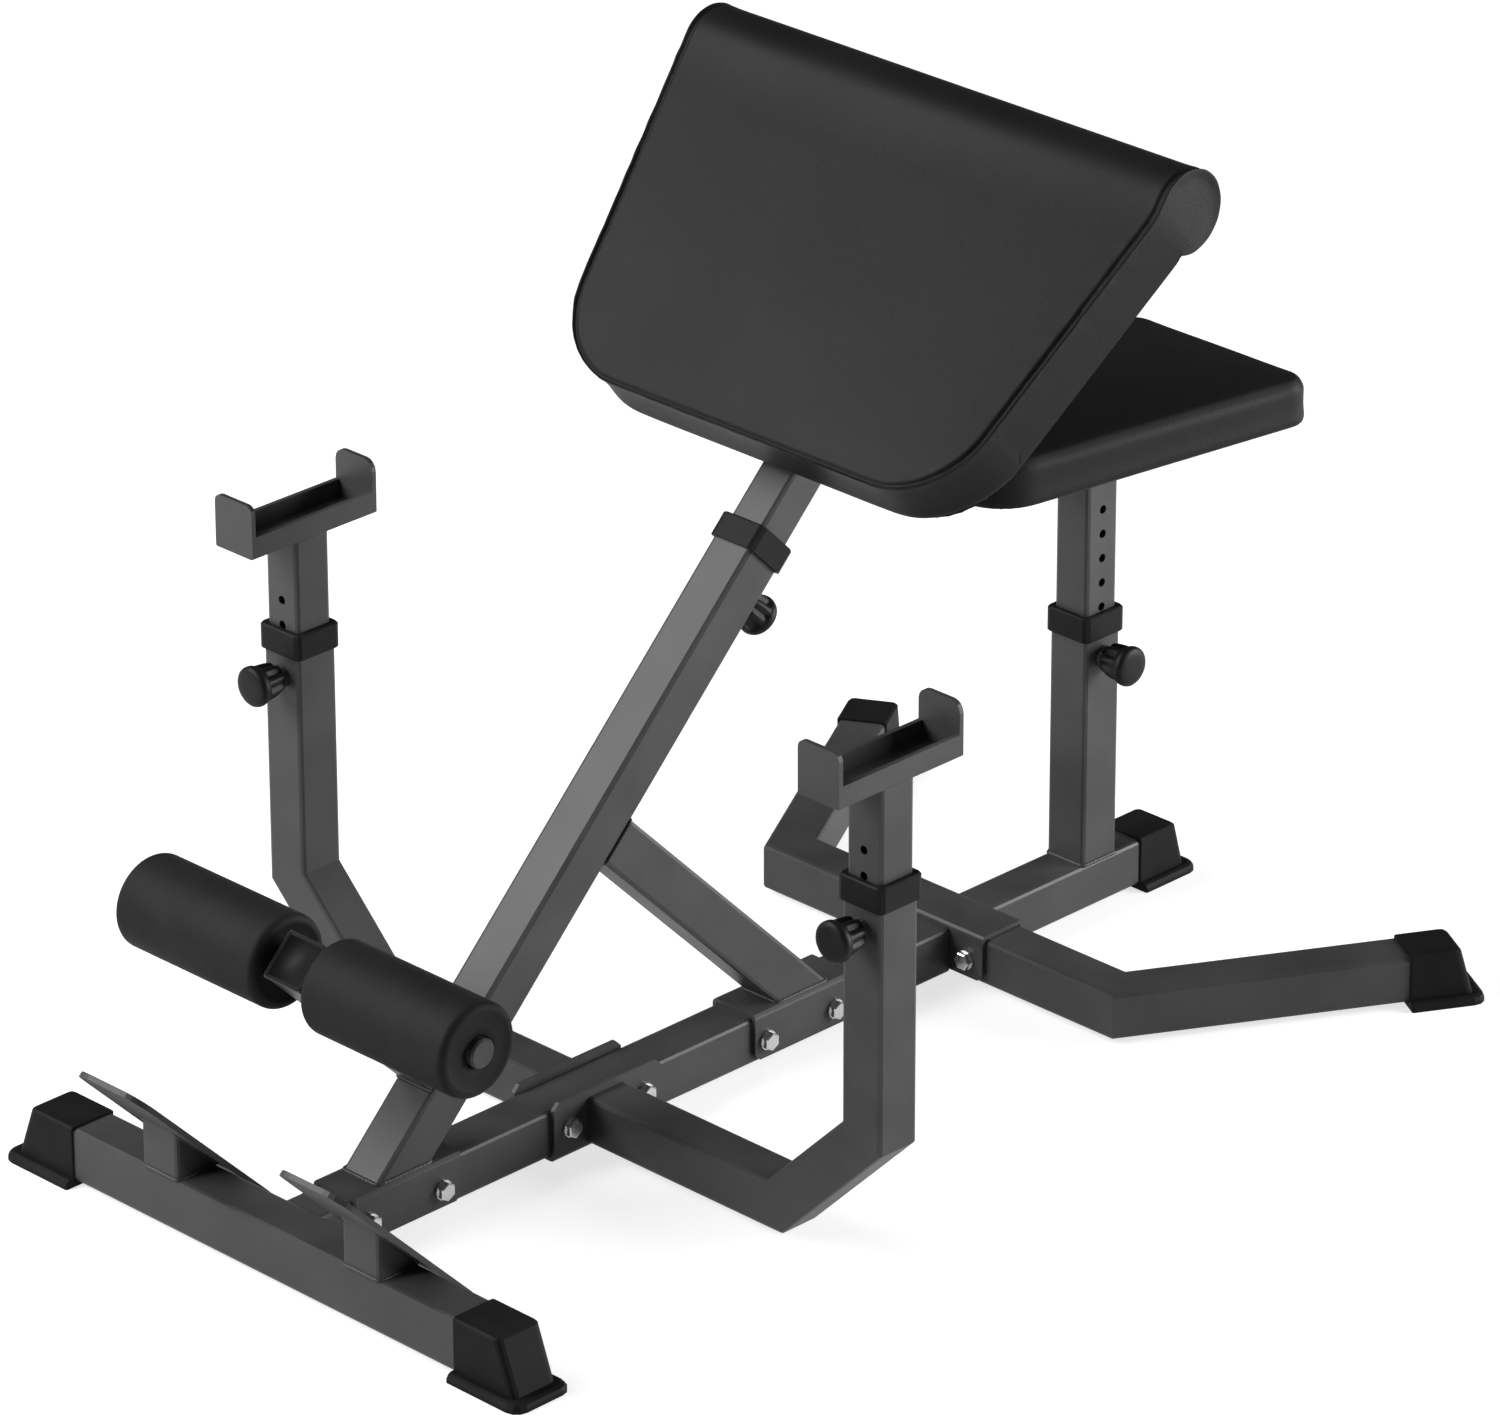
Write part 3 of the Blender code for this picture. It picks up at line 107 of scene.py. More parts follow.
def feed(made, socket, source):
    """Leads a node's output into the material's surface."""
    made.node_tree.links.new(source, made.node_tree.nodes["Principled BSDF"].inputs[socket])


def shades(made, source, stops):
    """Turns a pattern into colours, from (place, hex colour) stops."""
    ramp = add(made, "ValToRGB", {"Fac": source})
    while len(ramp.color_ramp.elements) < len(stops):
        ramp.color_ramp.elements.new(0.5)
    for element, (place, colour) in zip(ramp.color_ramp.elements, stops):
        element.position = place
        element.color = linear(colour)
    feed(made, "Base Color", ramp.outputs["Color"])


def clouded(made, scale, detail, stops=(), gloss=(), **more):
    """Mottles a material's colour with soft noise, and its roughness over the range in gloss."""
    place = add(made, "TexCoord").outputs["Object"]
    cloud = add(made, "TexNoise", {"Vector": place, "Scale": scale, "Detail": detail, **more})
    if stops:
        shades(made, cloud.outputs["Fac"], stops)
    if gloss:
        patches = add(made, "MapRange", {"Value": cloud.outputs["Fac"], "To Min": gloss[0],
                                         "To Max": gloss[1]})
        feed(made, "Roughness", patches.outputs["Result"])


def raised(made, height, strength, depth):
    """Raises a surface by a pattern of heights."""
    bumps = add(made, "Bump", {"Height": height, "Strength": strength, "Distance": depth})
    feed(made, "Normal", bumps.outputs["Normal"])


def grained(made, size, detail, strength, depth):
    """Gives a surface bumps about a size apart."""
    place = add(made, "TexCoord").outputs["Object"]
    grain = add(made, "TexNoise", {"Vector": place, "Scale": 1 / size, "Detail": detail})
    raised(made, grain.outputs["Fac"], strength, depth)


powder_coat = finish("satin_powder_coat", "#454545", 0.42, 0.4)
clouded(powder_coat, 14, 4, [(0.3, "#3f3f40"), (0.52, "#464646"), (0.75, "#4c4c4b")], (0.36, 0.50))
grained(powder_coat, 0.003, 2, 0.22, 0.0003)
coated = [
    "front_cross_tube", "foot_riser_left", "foot_riser_right", "main_beam", "post_saddle",
    "brace_saddle", "rack_saddle", "post_tube", "brace_tube", "roller_stub", "rack_tube_left",
    "rack_tube_right", "rear_base", "rear_bracket", "rear_beam", "seat_tube", "seat_inner_tube",
    "pad_inner_tube", "pad_channel_lower", "pad_channel_upper", "rack_inner_left",
    "rack_inner_right", "bar_cup_left", "bar_cup_right", "axle_cap_left", "axle_cap_right",
]


def wear(material, *nodes):
    """Gives CAD nodes a finish."""
    for node in nodes:
        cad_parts[node].material_slots[0].material = material


wear(powder_coat, *coated)


def show(name, mesh, body, material):
    """Puts a finished mesh in the scene, on its body and in its slot."""
    piece = placed(name, mesh)
    mesh.materials.clear()
    mesh.materials.append(material)
    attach(piece, body)
    return piece


# Foot plates. Flat steel plates welded on slanted risers, for the shoes of someone who hooks the
# ankles under the rollers. Same coat with a coarser mottle and a roughness that varies, for the
# scuffs of soles, and its colours a little darker as painted shade.
worn_and_shaded_coat = finish("worn_and_shaded_powder_coat", "#585858", 0.4, 0.4)
# Painted shade: the mottle's colours sit a little darker than the frame's coat.
clouded(worn_and_shaded_coat, 9, 8, [(0.35, "#3b3b3b"), (0.55, "#434343"), (0.72, "#4e4d4c")],
        (0.34, 0.58), Roughness=0.7)
grained(worn_and_shaded_coat, 0.0025, 2, 0.25, 0.0003)
wear(worn_and_shaded_coat, "foot_plate_left", "foot_plate_right")

# Foot caps. Injection moulded soft polyethylene shoes pushed on the tubes' ends. Matt, near
# black, with the fine grain of a spark-eroded mould.
moulded_cap = finish("grained_polyethylene", "#1e1e1e", 0.55, 0.1)
clouded(moulded_cap, 30, 3, [(0.3, "#1b1b1b"), (0.7, "#212121")])
grained(moulded_cap, 0.0012, 3, 0.3, 0.0003)
wear(moulded_cap, "front_cap_left", "front_cap_right", "rear_cap_left", "rear_cap_right",
     "rear_cap_centre")

# Collars. Moulded nylon guides over the outer tubes' tops. A little paler and smoother than the
# foot caps, because the inner tubes slide in them.
moulded_collar = finish("moulded_nylon", "#1c1c1c", 0.5, 0.12)
clouded(moulded_collar, 40, 3, [(0.3, "#1a1a1a"), (0.7, "#202020")])
grained(moulded_collar, 0.001, 2, 0.2, 0.0002)
wear(moulded_collar, "post_collar", "rack_collar_left", "rack_collar_right", "seat_collar")

# Weld beads. Each tube joint is closed with a row of small overlapping ripples, coated along
# with the tubes.
tube_width, inner_width, tube_corner = 0.050, 0.044, 0.004
saddle_top, front_tube_top, rear_beam_top = 0.0608, 0.0622, 0.0562
brace_at, stub_at, post_side = 0.3795, 0.103, 0.0252
post_foot = Vector((0, -0.47029, saddle_top))
post_line = Matrix.Translation(post_foot) @ Matrix.Rotation(math.radians(-45), 4, "X")
seat_post_y, seat_plate_at = 0.49841, 0.505
riser_x, riser_y, riser_front_y, riser_front_top = 0.140, -0.6091, -0.6341, 0.1115
rack_x, rack_y, cup_underside = 0.397, -0.20909, 0.5158
wide_bead, thin_bead = 0.0022, 0.0018
ripple_step, ripple_length, ripple_swell = 0.0016, 0.0045, 0.16
across_x, level = (1, 0, 0), (0, 0, 1)


def outline(width, depth, corner, steps=3):
    """A rounded square's outline in its own plane, as (across, along) pairs."""
    pairs = []
    for x, y, start in ((1, 1, 0), (-1, 1, 90), (-1, -1, 180), (1, -1, 270)):
        for step in range(steps + 1):
            angle = math.radians(start + 90 * step / steps)
            pairs.append((x * (width / 2 - corner) + corner * math.cos(angle),
                          y * (depth / 2 - corner) + corner * math.sin(angle)))
    return pairs


def joint_line(start, along, across, plane_at, plane_normal, width=tube_width, depth=tube_width):
    """Where a tube's outside meets a plane: the line that a welder follows."""
    start, along, across = Vector(start), Vector(along).normalized(), Vector(across).normalized()
    third = along.cross(across)
    plane_at, plane_normal = Vector(plane_at), Vector(plane_normal).normalized()
    line = []
    for a, b in outline(width, depth, tube_corner):
        point = start + across * a + third * b
        line.append(point + along * ((plane_at - point).dot(plane_normal)
                                     / along.dot(plane_normal)))
    return line


def applied(piece):
    """The mesh that an object's curve or modifiers give. The object itself goes."""
    mesh = bpy.data.meshes.new_from_object(piece.evaluated_get(
        bpy.context.evaluated_depsgraph_get()))
    bpy.data.objects.remove(piece)
    return mesh


def smooth(mesh):
    """Shades a mesh smoothly."""
    for face in mesh.polygons:
        face.use_smooth = True
    return mesh


def bead(name, lines, size, body):
    """Sweeps a rippled bead along closed lines."""
    curve = bpy.data.curves.new(name, "CURVE")
    curve.dimensions = "3D"
    curve.bevel_depth = size
    curve.bevel_resolution = 1
    for line in lines:
        places, reach = [], 0
        for i, point in enumerate(line):
            step = line[(i + 1) % len(line)] - point
            count = max(int(step.length / ripple_step), 1)
            for k in range(count):
                places.append((point + step * k / count, reach + step.length * k / count))
            reach += step.length
        spline = curve.splines.new("POLY")
        spline.points.add(len(places) - 1)
        for spot, (point, at) in zip(spline.points, places):
            spot.co = (*point, 1)
            spot.radius = 1 + ripple_swell * math.sin(math.tau * at / ripple_length)
        spline.use_cyclic_u = True
    mesh = smooth(applied(placed(name + "_sweep", curve)))
    mesh.name = name
    return show(name, mesh, body, powder_coat)


up_post = post_line.to_3x3() @ Vector((0, 0, 1))
out_of_post = post_line.to_3x3() @ Vector((0, -1, 0))


def on_post(x, out, along):
    """A point in the post's own axes: across, out of its front, and along it."""
    return post_line @ Vector((x, -out, along))


bead("post_foot_weld", [joint_line(post_foot, up_post, across_x, post_foot, level)], wide_bead,
     "frame")
brace_start, stub_start = on_post(0, -0.1, brace_at), on_post(0, 0.1, stub_at)
bead("brace_welds", [
    joint_line(brace_start, out_of_post, across_x, on_post(0, -post_side, brace_at), out_of_post),
    joint_line(brace_start, out_of_post, across_x, (0, 0, saddle_top), level),
], wide_bead, "frame")
bead("stub_weld", [
    joint_line(stub_start, out_of_post, across_x, on_post(0, post_side, stub_at), out_of_post),
], wide_bead, "frame")
bead("seat_tube_weld", [
    joint_line((0, seat_post_y, 0.1), level, across_x, (0, 0, rear_beam_top), level),
], wide_bead, "frame")
for side, sign in (("left", -1), ("right", 1)):
    riser = Vector((sign * riser_x, riser_y, 0.08))
    bead("foot_riser_welds_" + side, [
        joint_line(riser, level, across_x, (0, 0, front_tube_top), level),
        joint_line(riser, level, across_x, (0, riser_front_y, riser_front_top), (0, 1, 1)),
    ], thin_bead, "frame")
    bead("bar_cup_weld_" + side, [
        joint_line((sign * rack_x, rack_y, 0.45), level, across_x, (0, 0, cup_underside), level,
                   inner_width, inner_width),
    ], thin_bead, "rack_" + side)
bead("seat_plate_weld", [
    joint_line((0, seat_post_y, 0.45), level, across_x, (0, 0, seat_plate_at), level,
               inner_width, inner_width),
], thin_bead, "seat")

# Plugs. Moulded plugs close the square ends of the roller stub and of the arm pad's inner tube.
# The same nylon as the collars.
stub_face, pad_tube_end = 0.2594, 1.0091
lid_height, lid_steps = 0.0012, ((0.0012, 0.0010), (0.0040, 0.0004))


def spun(points, steps):
    """Turns an outline of (radius, x) points once about X, and closes it where it leaves off."""
    made = bmesh.new()
    corners = [made.verts.new((x, 0, radius)) for radius, x in points]
    edges = [made.edges.new(pair) for pair in zip(corners, corners[1:])]
    bmesh.ops.spin(made, geom=corners + edges, cent=(0, 0, 0), axis=(1, 0, 0), dvec=(0, 0, 0),
                   angle=math.tau, steps=steps, use_merge=True)
    bmesh.ops.remove_doubles(made, verts=made.verts, dist=1e-6)
    bmesh.ops.recalc_face_normals(made, faces=made.faces)
    return made


def smooth_mesh(made, name):
    """Ends a bmesh: a mesh with smooth shading."""
    mesh = bpy.data.meshes.new(name)
    made.to_mesh(mesh)
    made.free()
    return smooth(mesh)


def plug(name, width, corner, place, body):
    """A square moulded plug with a rounded lid. Place turns (x, y, height) into a point."""
    skin = bmesh.new()
    base = bmesh.ops.contextual_create(skin, geom=[
        skin.verts.new((x, y, 0)) for x, y in outline(width, width, corner)])["faces"]
    lid = bmesh.ops.extrude_face_region(skin, geom=base)["geom"]
    lid = [face for face in lid if isinstance(face, bmesh.types.BMFace)]
    bmesh.ops.translate(skin, verts=lid[0].verts, vec=(0, 0, lid_height))
    for inset, rise in lid_steps:
        bmesh.ops.inset_region(skin, faces=lid, thickness=inset, depth=rise)
    for vertex in skin.verts:
        vertex.co = place(*vertex.co)
    bmesh.ops.recalc_face_normals(skin, faces=skin.faces)
    show(name, smooth_mesh(skin, name), body, moulded_collar)


plug("roller_stub_plug", 0.0496, 0.0042,
     lambda x, y, height: on_post(x, stub_face + height, stub_at + y), "frame")
plug("pad_tube_plug", 0.0436, 0.0036,
     lambda x, y, height: on_post(x, -y, pad_tube_end + height), "arm_pad")

# Bolts. Zinc plated M10 hex bolts through the saddles, with a washer on each side and a nut.
# Bright, with a soft blue-white sheen.
zinc = finish("bright_zinc_plate", "#c9ccd0", 0.26, metallic=1)
place = add(zinc, "TexCoord").outputs["Object"]
crystals = add(zinc, "TexVoronoi", {"Vector": place, "Scale": 1 / 0.0022})
shades(zinc, crystals.outputs["Distance"], [(0, "#cfd3d8"), (1, "#e6e6e4")])
clouded(zinc, 260, 3, gloss=(0.18, 0.38))
bolt_nodes = [
    "post_saddle_bolt_front", "post_saddle_bolt_rear", "brace_saddle_bolt_front",
    "brace_saddle_bolt_rear", "rack_saddle_bolt_front", "rack_saddle_bolt_rear", "rear_bolt_left",
    "rear_bolt_right",
]
wear(zinc, *bolt_nodes)

# Axle and pins. A plain drawn steel tube through the roller stub, and the turned plungers of the
# spring pins. Bright, with fine drawing marks that dull it here and there.
bright_steel = finish("drawn_steel", "#a4a6a8", 0.3, metallic=1)
clouded(bright_steel, 500, 4, gloss=(0.22, 0.42))
wear(bright_steel, "roller_axle", "seat_pin", "pad_pin", "rack_left_pin", "rack_right_pin")

# Knobs. Black ABS, moulded on the spring pins: a flat round grip, and behind it a barrel with eight
# flutes that narrows towards the tube. Satin, and a little smoother where fingers hold it.
knob_plastic = finish("moulded_abs", "#171717", 0.45, 0.2)
clouded(knob_plastic, 90, 4, [(0.3, "#141414"), (0.7, "#1b1b1b")], (0.38, 0.55))
grained(knob_plastic, 0.0009, 2, 0.2, 0.0002)
flute_count, flute_depth, flute_fade = 8, 0.0036, 0.003
flutes_from, flutes_to = 0.0125, 0.0310
seat_pin_height, rack_pin_height, post_pin_at = 0.2845, 0.3665, 0.645
knob_outline = [
    (0, 0.0430), (0.0060, 0.0430), (0.0120, 0.0428), (0.0165, 0.0421), (0.0190, 0.0411),
    (0.0204, 0.0396), (0.0210, 0.0377), (0.0210, 0.0350), (0.0207, 0.0334), (0.0200, 0.0322),
    (0.0194, 0.0314), (0.0191, 0.0304), (0.0190, 0.0290), (0.0189, 0.0270), (0.0186, 0.0230),
    (0.0181, 0.0180), (0.0172, 0.0130), (0.0163, 0.0100), (0.0154, 0.0086), (0.0140, 0.0080),
    (0.0098, 0.0080), (0.0088, 0.0088), (0.0088, 0.0334), (0.0082, 0.0340), (0, 0.0340),
]
rack_front_y = -0.2341


def aimed(foot, way):
    """The frame of a turned piece that starts at a foot and points one way."""
    return Matrix.Translation(foot) @ way.to_track_quat("X", "Z").to_matrix().to_4x4()


for name, foot, way in (
    ("seat", (tube_width / 2, seat_post_y, seat_pin_height), Vector((1, 0, 0))),
    ("pad", on_post(0, -tube_width / 2, post_pin_at), -out_of_post),
    ("rack_left", (-rack_x, rack_front_y, rack_pin_height), Vector((0, -1, 0))),
    ("rack_right", (rack_x, rack_front_y, rack_pin_height), Vector((0, -1, 0))),
):
    grip = spun(knob_outline, 64)
    for vertex in grip.verts:
        radius = math.hypot(vertex.co.y, vertex.co.z)
        if radius > flutes_from and vertex.co.x < flutes_to:
            turn = math.atan2(vertex.co.y, vertex.co.z)
            dip = flute_depth * (0.5 + 0.5 * math.cos(flute_count * turn)) ** 1.5
            dip *= min((flutes_to - vertex.co.x) / flute_fade, 1)
            vertex.co.y *= 1 - dip / radius
            vertex.co.z *= 1 - dip / radius
    bmesh.ops.transform(grip, verts=grip.verts, matrix=aimed(foot, way))
    bmesh.ops.recalc_face_normals(grip, faces=grip.faces)
    knob = show(name + "_knob_grip", smooth_mesh(grip, name + "_knob_grip"), name + "_spring_pin",
                knob_plastic)
    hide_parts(name + "_knob")

# Boards. 12 mm poplar plywood under both cushions, cut by router. Pale brown, with long grain on
# its face.
plywood = finish("poplar_plywood", "#7a5f43", 0.7)
place = add(plywood, "TexCoord").outputs["Object"]
stretched = add(plywood, "Mapping", {"Vector": place, "Scale": (6, 1, 1)})
figure = add(plywood, "TexNoise", {"Vector": stretched.outputs["Vector"], "Scale": 16,
                                   "Detail": 7, "Distortion": 1.2})
shades(plywood, figure.outputs["Fac"], [(0.3, "#6a4f35"), (0.5, "#80643f"), (0.7, "#947650")])
raised(plywood, figure.outputs["Fac"], 0.2, 0.0005)
wear(plywood, "seat_board", "pad_board")

# Foam rollers. Closed-cell rubber foam with a smooth skin, pushed on the axle. The rims are soft
# and round, and the axle's caps sit in a recess of the ends.
foam_skin = finish("rubber_foam_skin", "#242424", 0.62, 0.14)
clouded(foam_skin, 24, 4, [(0.3, "#222222"), (0.7, "#282828")])
grained(foam_skin, 0.0018, 3, 0.35, 0.0004)
roller_line = Vector((0, -0.56010, 0.29628))
roller_reach, roller_rim, roller_inner, roller_outer = 0.04775, 0.008, 0.032, 0.2262
bore, cap_recess, recess_depth = 0.0129, 0.0157, 0.0042
foam_outline = [
    (bore, recess_depth), (cap_recess, recess_depth), (cap_recess + 0.0002, 0.0022),
    (cap_recess + 0.0010, 0.0012), (0.0260, 0.0018), (roller_reach - roller_rim - 0.0040, 0.0014),
    (roller_reach - roller_rim - 0.0015, 0.0003),
]
for degrees in range(90, -1, -9):
    angle = math.radians(degrees)
    foam_outline.append((roller_reach - roller_rim * (1 - math.cos(angle)),
                         roller_rim * (1 - math.sin(angle))))
foam_outline += [(roller_reach, at) for at in (0.012, 0.024, 0.048, 0.072)]
length = roller_outer - roller_inner
foam_outline += [(radius, length - at) for radius, at in reversed(foam_outline)]
foam_outline.append(foam_outline[0])
for side, sign in (("left", -1), ("right", 1)):
    foam = spun(foam_outline, 72)
    for vertex in foam.verts:
        vertex.co.x += roller_inner
        vertex.co.x *= sign
        vertex.co += roller_line
    bmesh.ops.recalc_face_normals(foam, faces=foam.faces)
    roller = show("foam_roller_cover_" + side, smooth_mesh(foam, "foam_roller_cover_" + side),
                  "roller_" + side, foam_skin)
    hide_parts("foam_roller_" + side)

# Arm pad. A plywood board under firm foam, in black vinyl. The face runs up over a roll at the
# top, and a seam joins it to the side bands and to the roll's round ends.
vinyl = finish("upholstery_vinyl", "#303030", 0.5, 0.14)
place = add(vinyl, "TexCoord").outputs["Object"]
pebbles = add(vinyl, "TexVoronoi", {"Vector": place, "Scale": 1 / 0.0014}, feature="SMOOTH_F1")
creases = add(vinyl, "TexNoise", {"Vector": place, "Scale": 1 / 0.004, "Detail": 5})
both = add(vinyl, "Math", {0: pebbles.outputs["Distance"], 1: creases.outputs["Fac"]},
           operation="ADD")
raised(vinyl, both.outputs["Value"], 0.3, 0.0004)
clouded(vinyl, 7, 5, [(0.3, "#1f1f1f"), (0.55, "#222222"), (0.75, "#252525")], (0.42, 0.58))
ramp = vinyl.node_tree.nodes["Color Ramp"]
# Painted shade: near the seam the vinyl's colour is mixed towards #121212, standing in for the
# shade in the seam's groove.
painted_shade_near_seam = add(vinyl, "Attribute", attribute_name="seam")
painted_shade_mix = add(vinyl, "Mix", {0: painted_shade_near_seam.outputs["Fac"], 6: ramp.outputs["Color"],
                          7: linear("#121212")}, data_type="RGBA")
feed(vinyl, "Base Color", painted_shade_mix.outputs[2])

pad_lower_edge, pad_face, pad_back, pad_pull_in = 0.764, 0.100, 0.0375, 0.0025
roll_at, roll_height, roll_radius, roll_blend = 1.135, 0.0625, 0.0425, 0.056
pad_lower_half, pad_taper, pad_upper_half, pad_corner = 0.261, 0.168, 0.3185, 0.085
roll_from, roll_to, roll_step = 104, -149, 9  # degrees about the roll's centre
pad_crown, pad_rim_round = 0.003, 0.0045
board_thickness, board_inset, board_gap, board_corner_steps = 0.012, 0.014, 0.0003, 8
cloth_frames, evening_rounds = 20, 14
seam_inset, seam_step, seam_depth, seam_width = 0.0052, 0.0015, 0.0026, 0.0020
# The seam's mesh size, how strongly the painted seam shade darkens the vinyl, and the puckers'
# height and reach.
seam_mesh, painted_shade_strength, pucker_height, pucker_reach = 0.0034, 0.75, 0.0006, 0.012
lap_overhang, lap_step, lap_waver, pleat_height, stapled_at = 0.007, 0.006, 0.08, 0.0005, 0.62
lap_section = ((0, 0.0002), (0.03, 0.0012), (0.5, 0.0014), (0.97, 0.0012), (1, 0.0002))


def evenly(start, stop, step):
    """Values from start to stop, both included, about a step apart."""
    count = max(round(abs(stop - start) / step), 1)
    return [start + (stop - start) * k / count for k in range(count + 1)]


def pad_side_line():
    """The pad seen from its side, as (along the post, out of it) with the way each spot faces."""
    line = []
    for out in evenly(pad_back, pad_face - 0.008, 0.0075):
        share = (out - pad_back) / (pad_face - pad_back)
        line.append((pad_lower_edge + pad_pull_in * math.sin(math.pi * share), out, None))
    line.append((pad_lower_edge, pad_face, "seam"))
    blend = roll_at - roll_blend
    for along in evenly(pad_lower_edge + 0.009, blend, 0.008):
        line.append((along, pad_face, (0, 1)))
    first = math.radians(roll_from)
    last_at = roll_at + roll_radius * math.cos(first)
    last_out = roll_height + roll_radius * math.sin(first)
    for share in (0.25, 0.5, 0.75):
        rise = share ** 2 * (3 - 2 * share) * (last_out - pad_face)
        rise -= share ** 2 * (share - 1) * (last_at - blend) / math.tan(first)
        line.append((blend + (last_at - blend) * share, pad_face + rise, (0, 1)))
    for degrees in evenly(roll_from, roll_to, roll_step):
        angle = math.radians(degrees)
        line.append((roll_at + roll_radius * math.cos(angle),
                     roll_height + roll_radius * math.sin(angle),
                     (math.cos(angle), math.sin(angle))))
    for along in evenly(roll_at - roll_radius - 0.002, pad_lower_edge + 0.008, 0.010):
        line.append((along, pad_back, None))
    return line


def pad_half(along):
    """Half the pad's width, which grows along the post up to the roll."""
    return min(pad_lower_half + pad_taper * (along - pad_lower_edge), pad_upper_half)


def pad_spot(share, along, out):
    """A spot of the side line carried across the pad, from -1 on the left to 1 on the right."""
    corner_start = 1 - pad_corner / pad_lower_half
    rounded = max(abs(share) - corner_start, 0) * pad_lower_half
    lift = pad_corner - math.sqrt(max(pad_corner ** 2 - rounded ** 2, 0))
    lowered = max(1 - (along - pad_lower_edge) / (roll_at - roll_blend - pad_lower_edge), 0)
    if out > pad_face - 1e-6 and along < roll_at - roll_blend:
        out += pad_crown * (1 - share ** 2) * (1 - abs(1 - 2 * lowered) ** 2)
    along += lift * lowered
    return Vector((share * pad_half(along), out, along))


def stuffed(name, made, pressure, cap, held):
    """Fills a cushion: cloth under pressure, held where the board is. Firm foam evens out what
    the cloth does, so each spot takes the mean of its neighbours' moves, up to the cap."""
    mesh = bpy.data.meshes.new(name)
    made.to_mesh(mesh)
    made.free()
    piece = placed(name + "_stuffing", mesh)
    rest = [vertex.co.copy() for vertex in mesh.vertices]
    group = piece.vertex_groups.new(name="held")
    for vertex in mesh.vertices:
        group.add([vertex.index], held(vertex.co), "REPLACE")
    cloth = piece.modifiers.new("stuffing", "CLOTH")
    cloth.settings.quality = 6
    cloth.settings.mass = 0.3
    cloth.settings.use_pressure = True
    cloth.settings.uniform_pressure_force = pressure
    cloth.settings.effector_weights.gravity = 0
    cloth.settings.vertex_group_mass = "held"
    cloth.settings.tension_stiffness = 30
    cloth.settings.compression_stiffness = 30
    cloth.settings.bending_stiffness = 4
    cloth.point_cache.frame_start = 1
    cloth.point_cache.frame_end = cloth_frames
    for number in range(1, cloth_frames + 1):
        bpy.context.scene.frame_set(number)
    filled = applied(piece)
    bpy.context.scene.frame_set(1)
    moves = [vertex.co - start for vertex, start in zip(filled.vertices, rest)]
    moves = [move * min(cap / max(move.length, 1e-9), 1) for move in moves]
    beside = [[] for move in moves]
    for edge in filled.edges:
        a, b = edge.vertices
        beside[a].append(b)
        beside[b].append(a)
    for evening in range(evening_rounds):
        moves = [(moves[i] + sum((moves[k] for k in near), Vector())) / (len(near) + 1)
                 for i, near in enumerate(beside)]
    for vertex, start, move in zip(filled.vertices, rest, moves):
        vertex.co = start + move
    return filled


def drawn_in(made, depth, held):
    """Starts a cushion a little smaller, except where it is held."""
    bmesh.ops.recalc_face_normals(made, faces=made.faces)
    made.normal_update()
    steps = [vertex.normal * depth * (1 - held(vertex.co)) for vertex in made.verts]
    for vertex, step in zip(made.verts, steps):
        vertex.co -= step


def softened(name, mesh, levels):
    """Rounds a mesh with subdivision, applied."""
    piece = placed(name + "_smoothing", mesh)
    smoothing = piece.modifiers.new("smoothing", "SUBSURF")
    smoothing.levels = smoothing.render_levels = levels
    return smooth(applied(piece))


def hollowed(name, mesh, corners, low, high, place):
    """Cuts the pocket that a board lies in. Place turns (x, y) and a height into a point."""
    cutter = bmesh.new()
    ring = [cutter.verts.new(place(x, y, low)) for x, y in corners]
    bottom = cutter.faces.new(ring)
    top = bmesh.ops.extrude_face_region(cutter, geom=[bottom])["geom"]
    shift = Vector(place(0, 0, high)) - Vector(place(0, 0, low))
    for vertex in top:
        if isinstance(vertex, bmesh.types.BMVert):
            vertex.co += shift
    bmesh.ops.recalc_face_normals(cutter, faces=cutter.faces)
    pocket = placed(name + "_pocket", smooth_mesh(cutter, name + "_pocket"))
    piece = placed(name + "_hollowing", mesh)
    cut = piece.modifiers.new("pocket", "BOOLEAN")
    cut.object = pocket
    cut.operation = "DIFFERENCE"
    cut.solver = "EXACT"
    result = applied(piece)
    bpy.data.objects.remove(pocket)
    return result


def board_line(corners, radii, inset, steps=board_corner_steps):
    """A four-sided panel's outline with rounded corners, drawn in by an inset."""
    spots = [Vector(corner) for corner in corners]
    sides = []
    for i, spot in enumerate(spots):
        run = (spots[(i + 1) % 4] - spot).normalized()
        sides.append((spot + Vector((-run.y, run.x)) * inset, run))
    line = []
    for i in range(4):
        before, after = sides[i - 1], sides[i]
        inward = Vector((-after[1].y, after[1].x))
        reach = (after[0] - before[0]).dot(inward) / before[1].dot(inward)
        corner = before[0] + before[1] * reach
        radius = max(radii[i] - inset, 0.001)
        turn = math.atan2(before[1].cross(after[1]), before[1].dot(after[1]))
        start = corner - before[1] * radius * math.tan(turn / 2)
        centre = start + Vector((-before[1].y, before[1].x)) * radius
        for k in range(steps + 1):
            line.append(centre + Matrix.Rotation(turn * k / steps, 2) @ (start - centre))
    return line


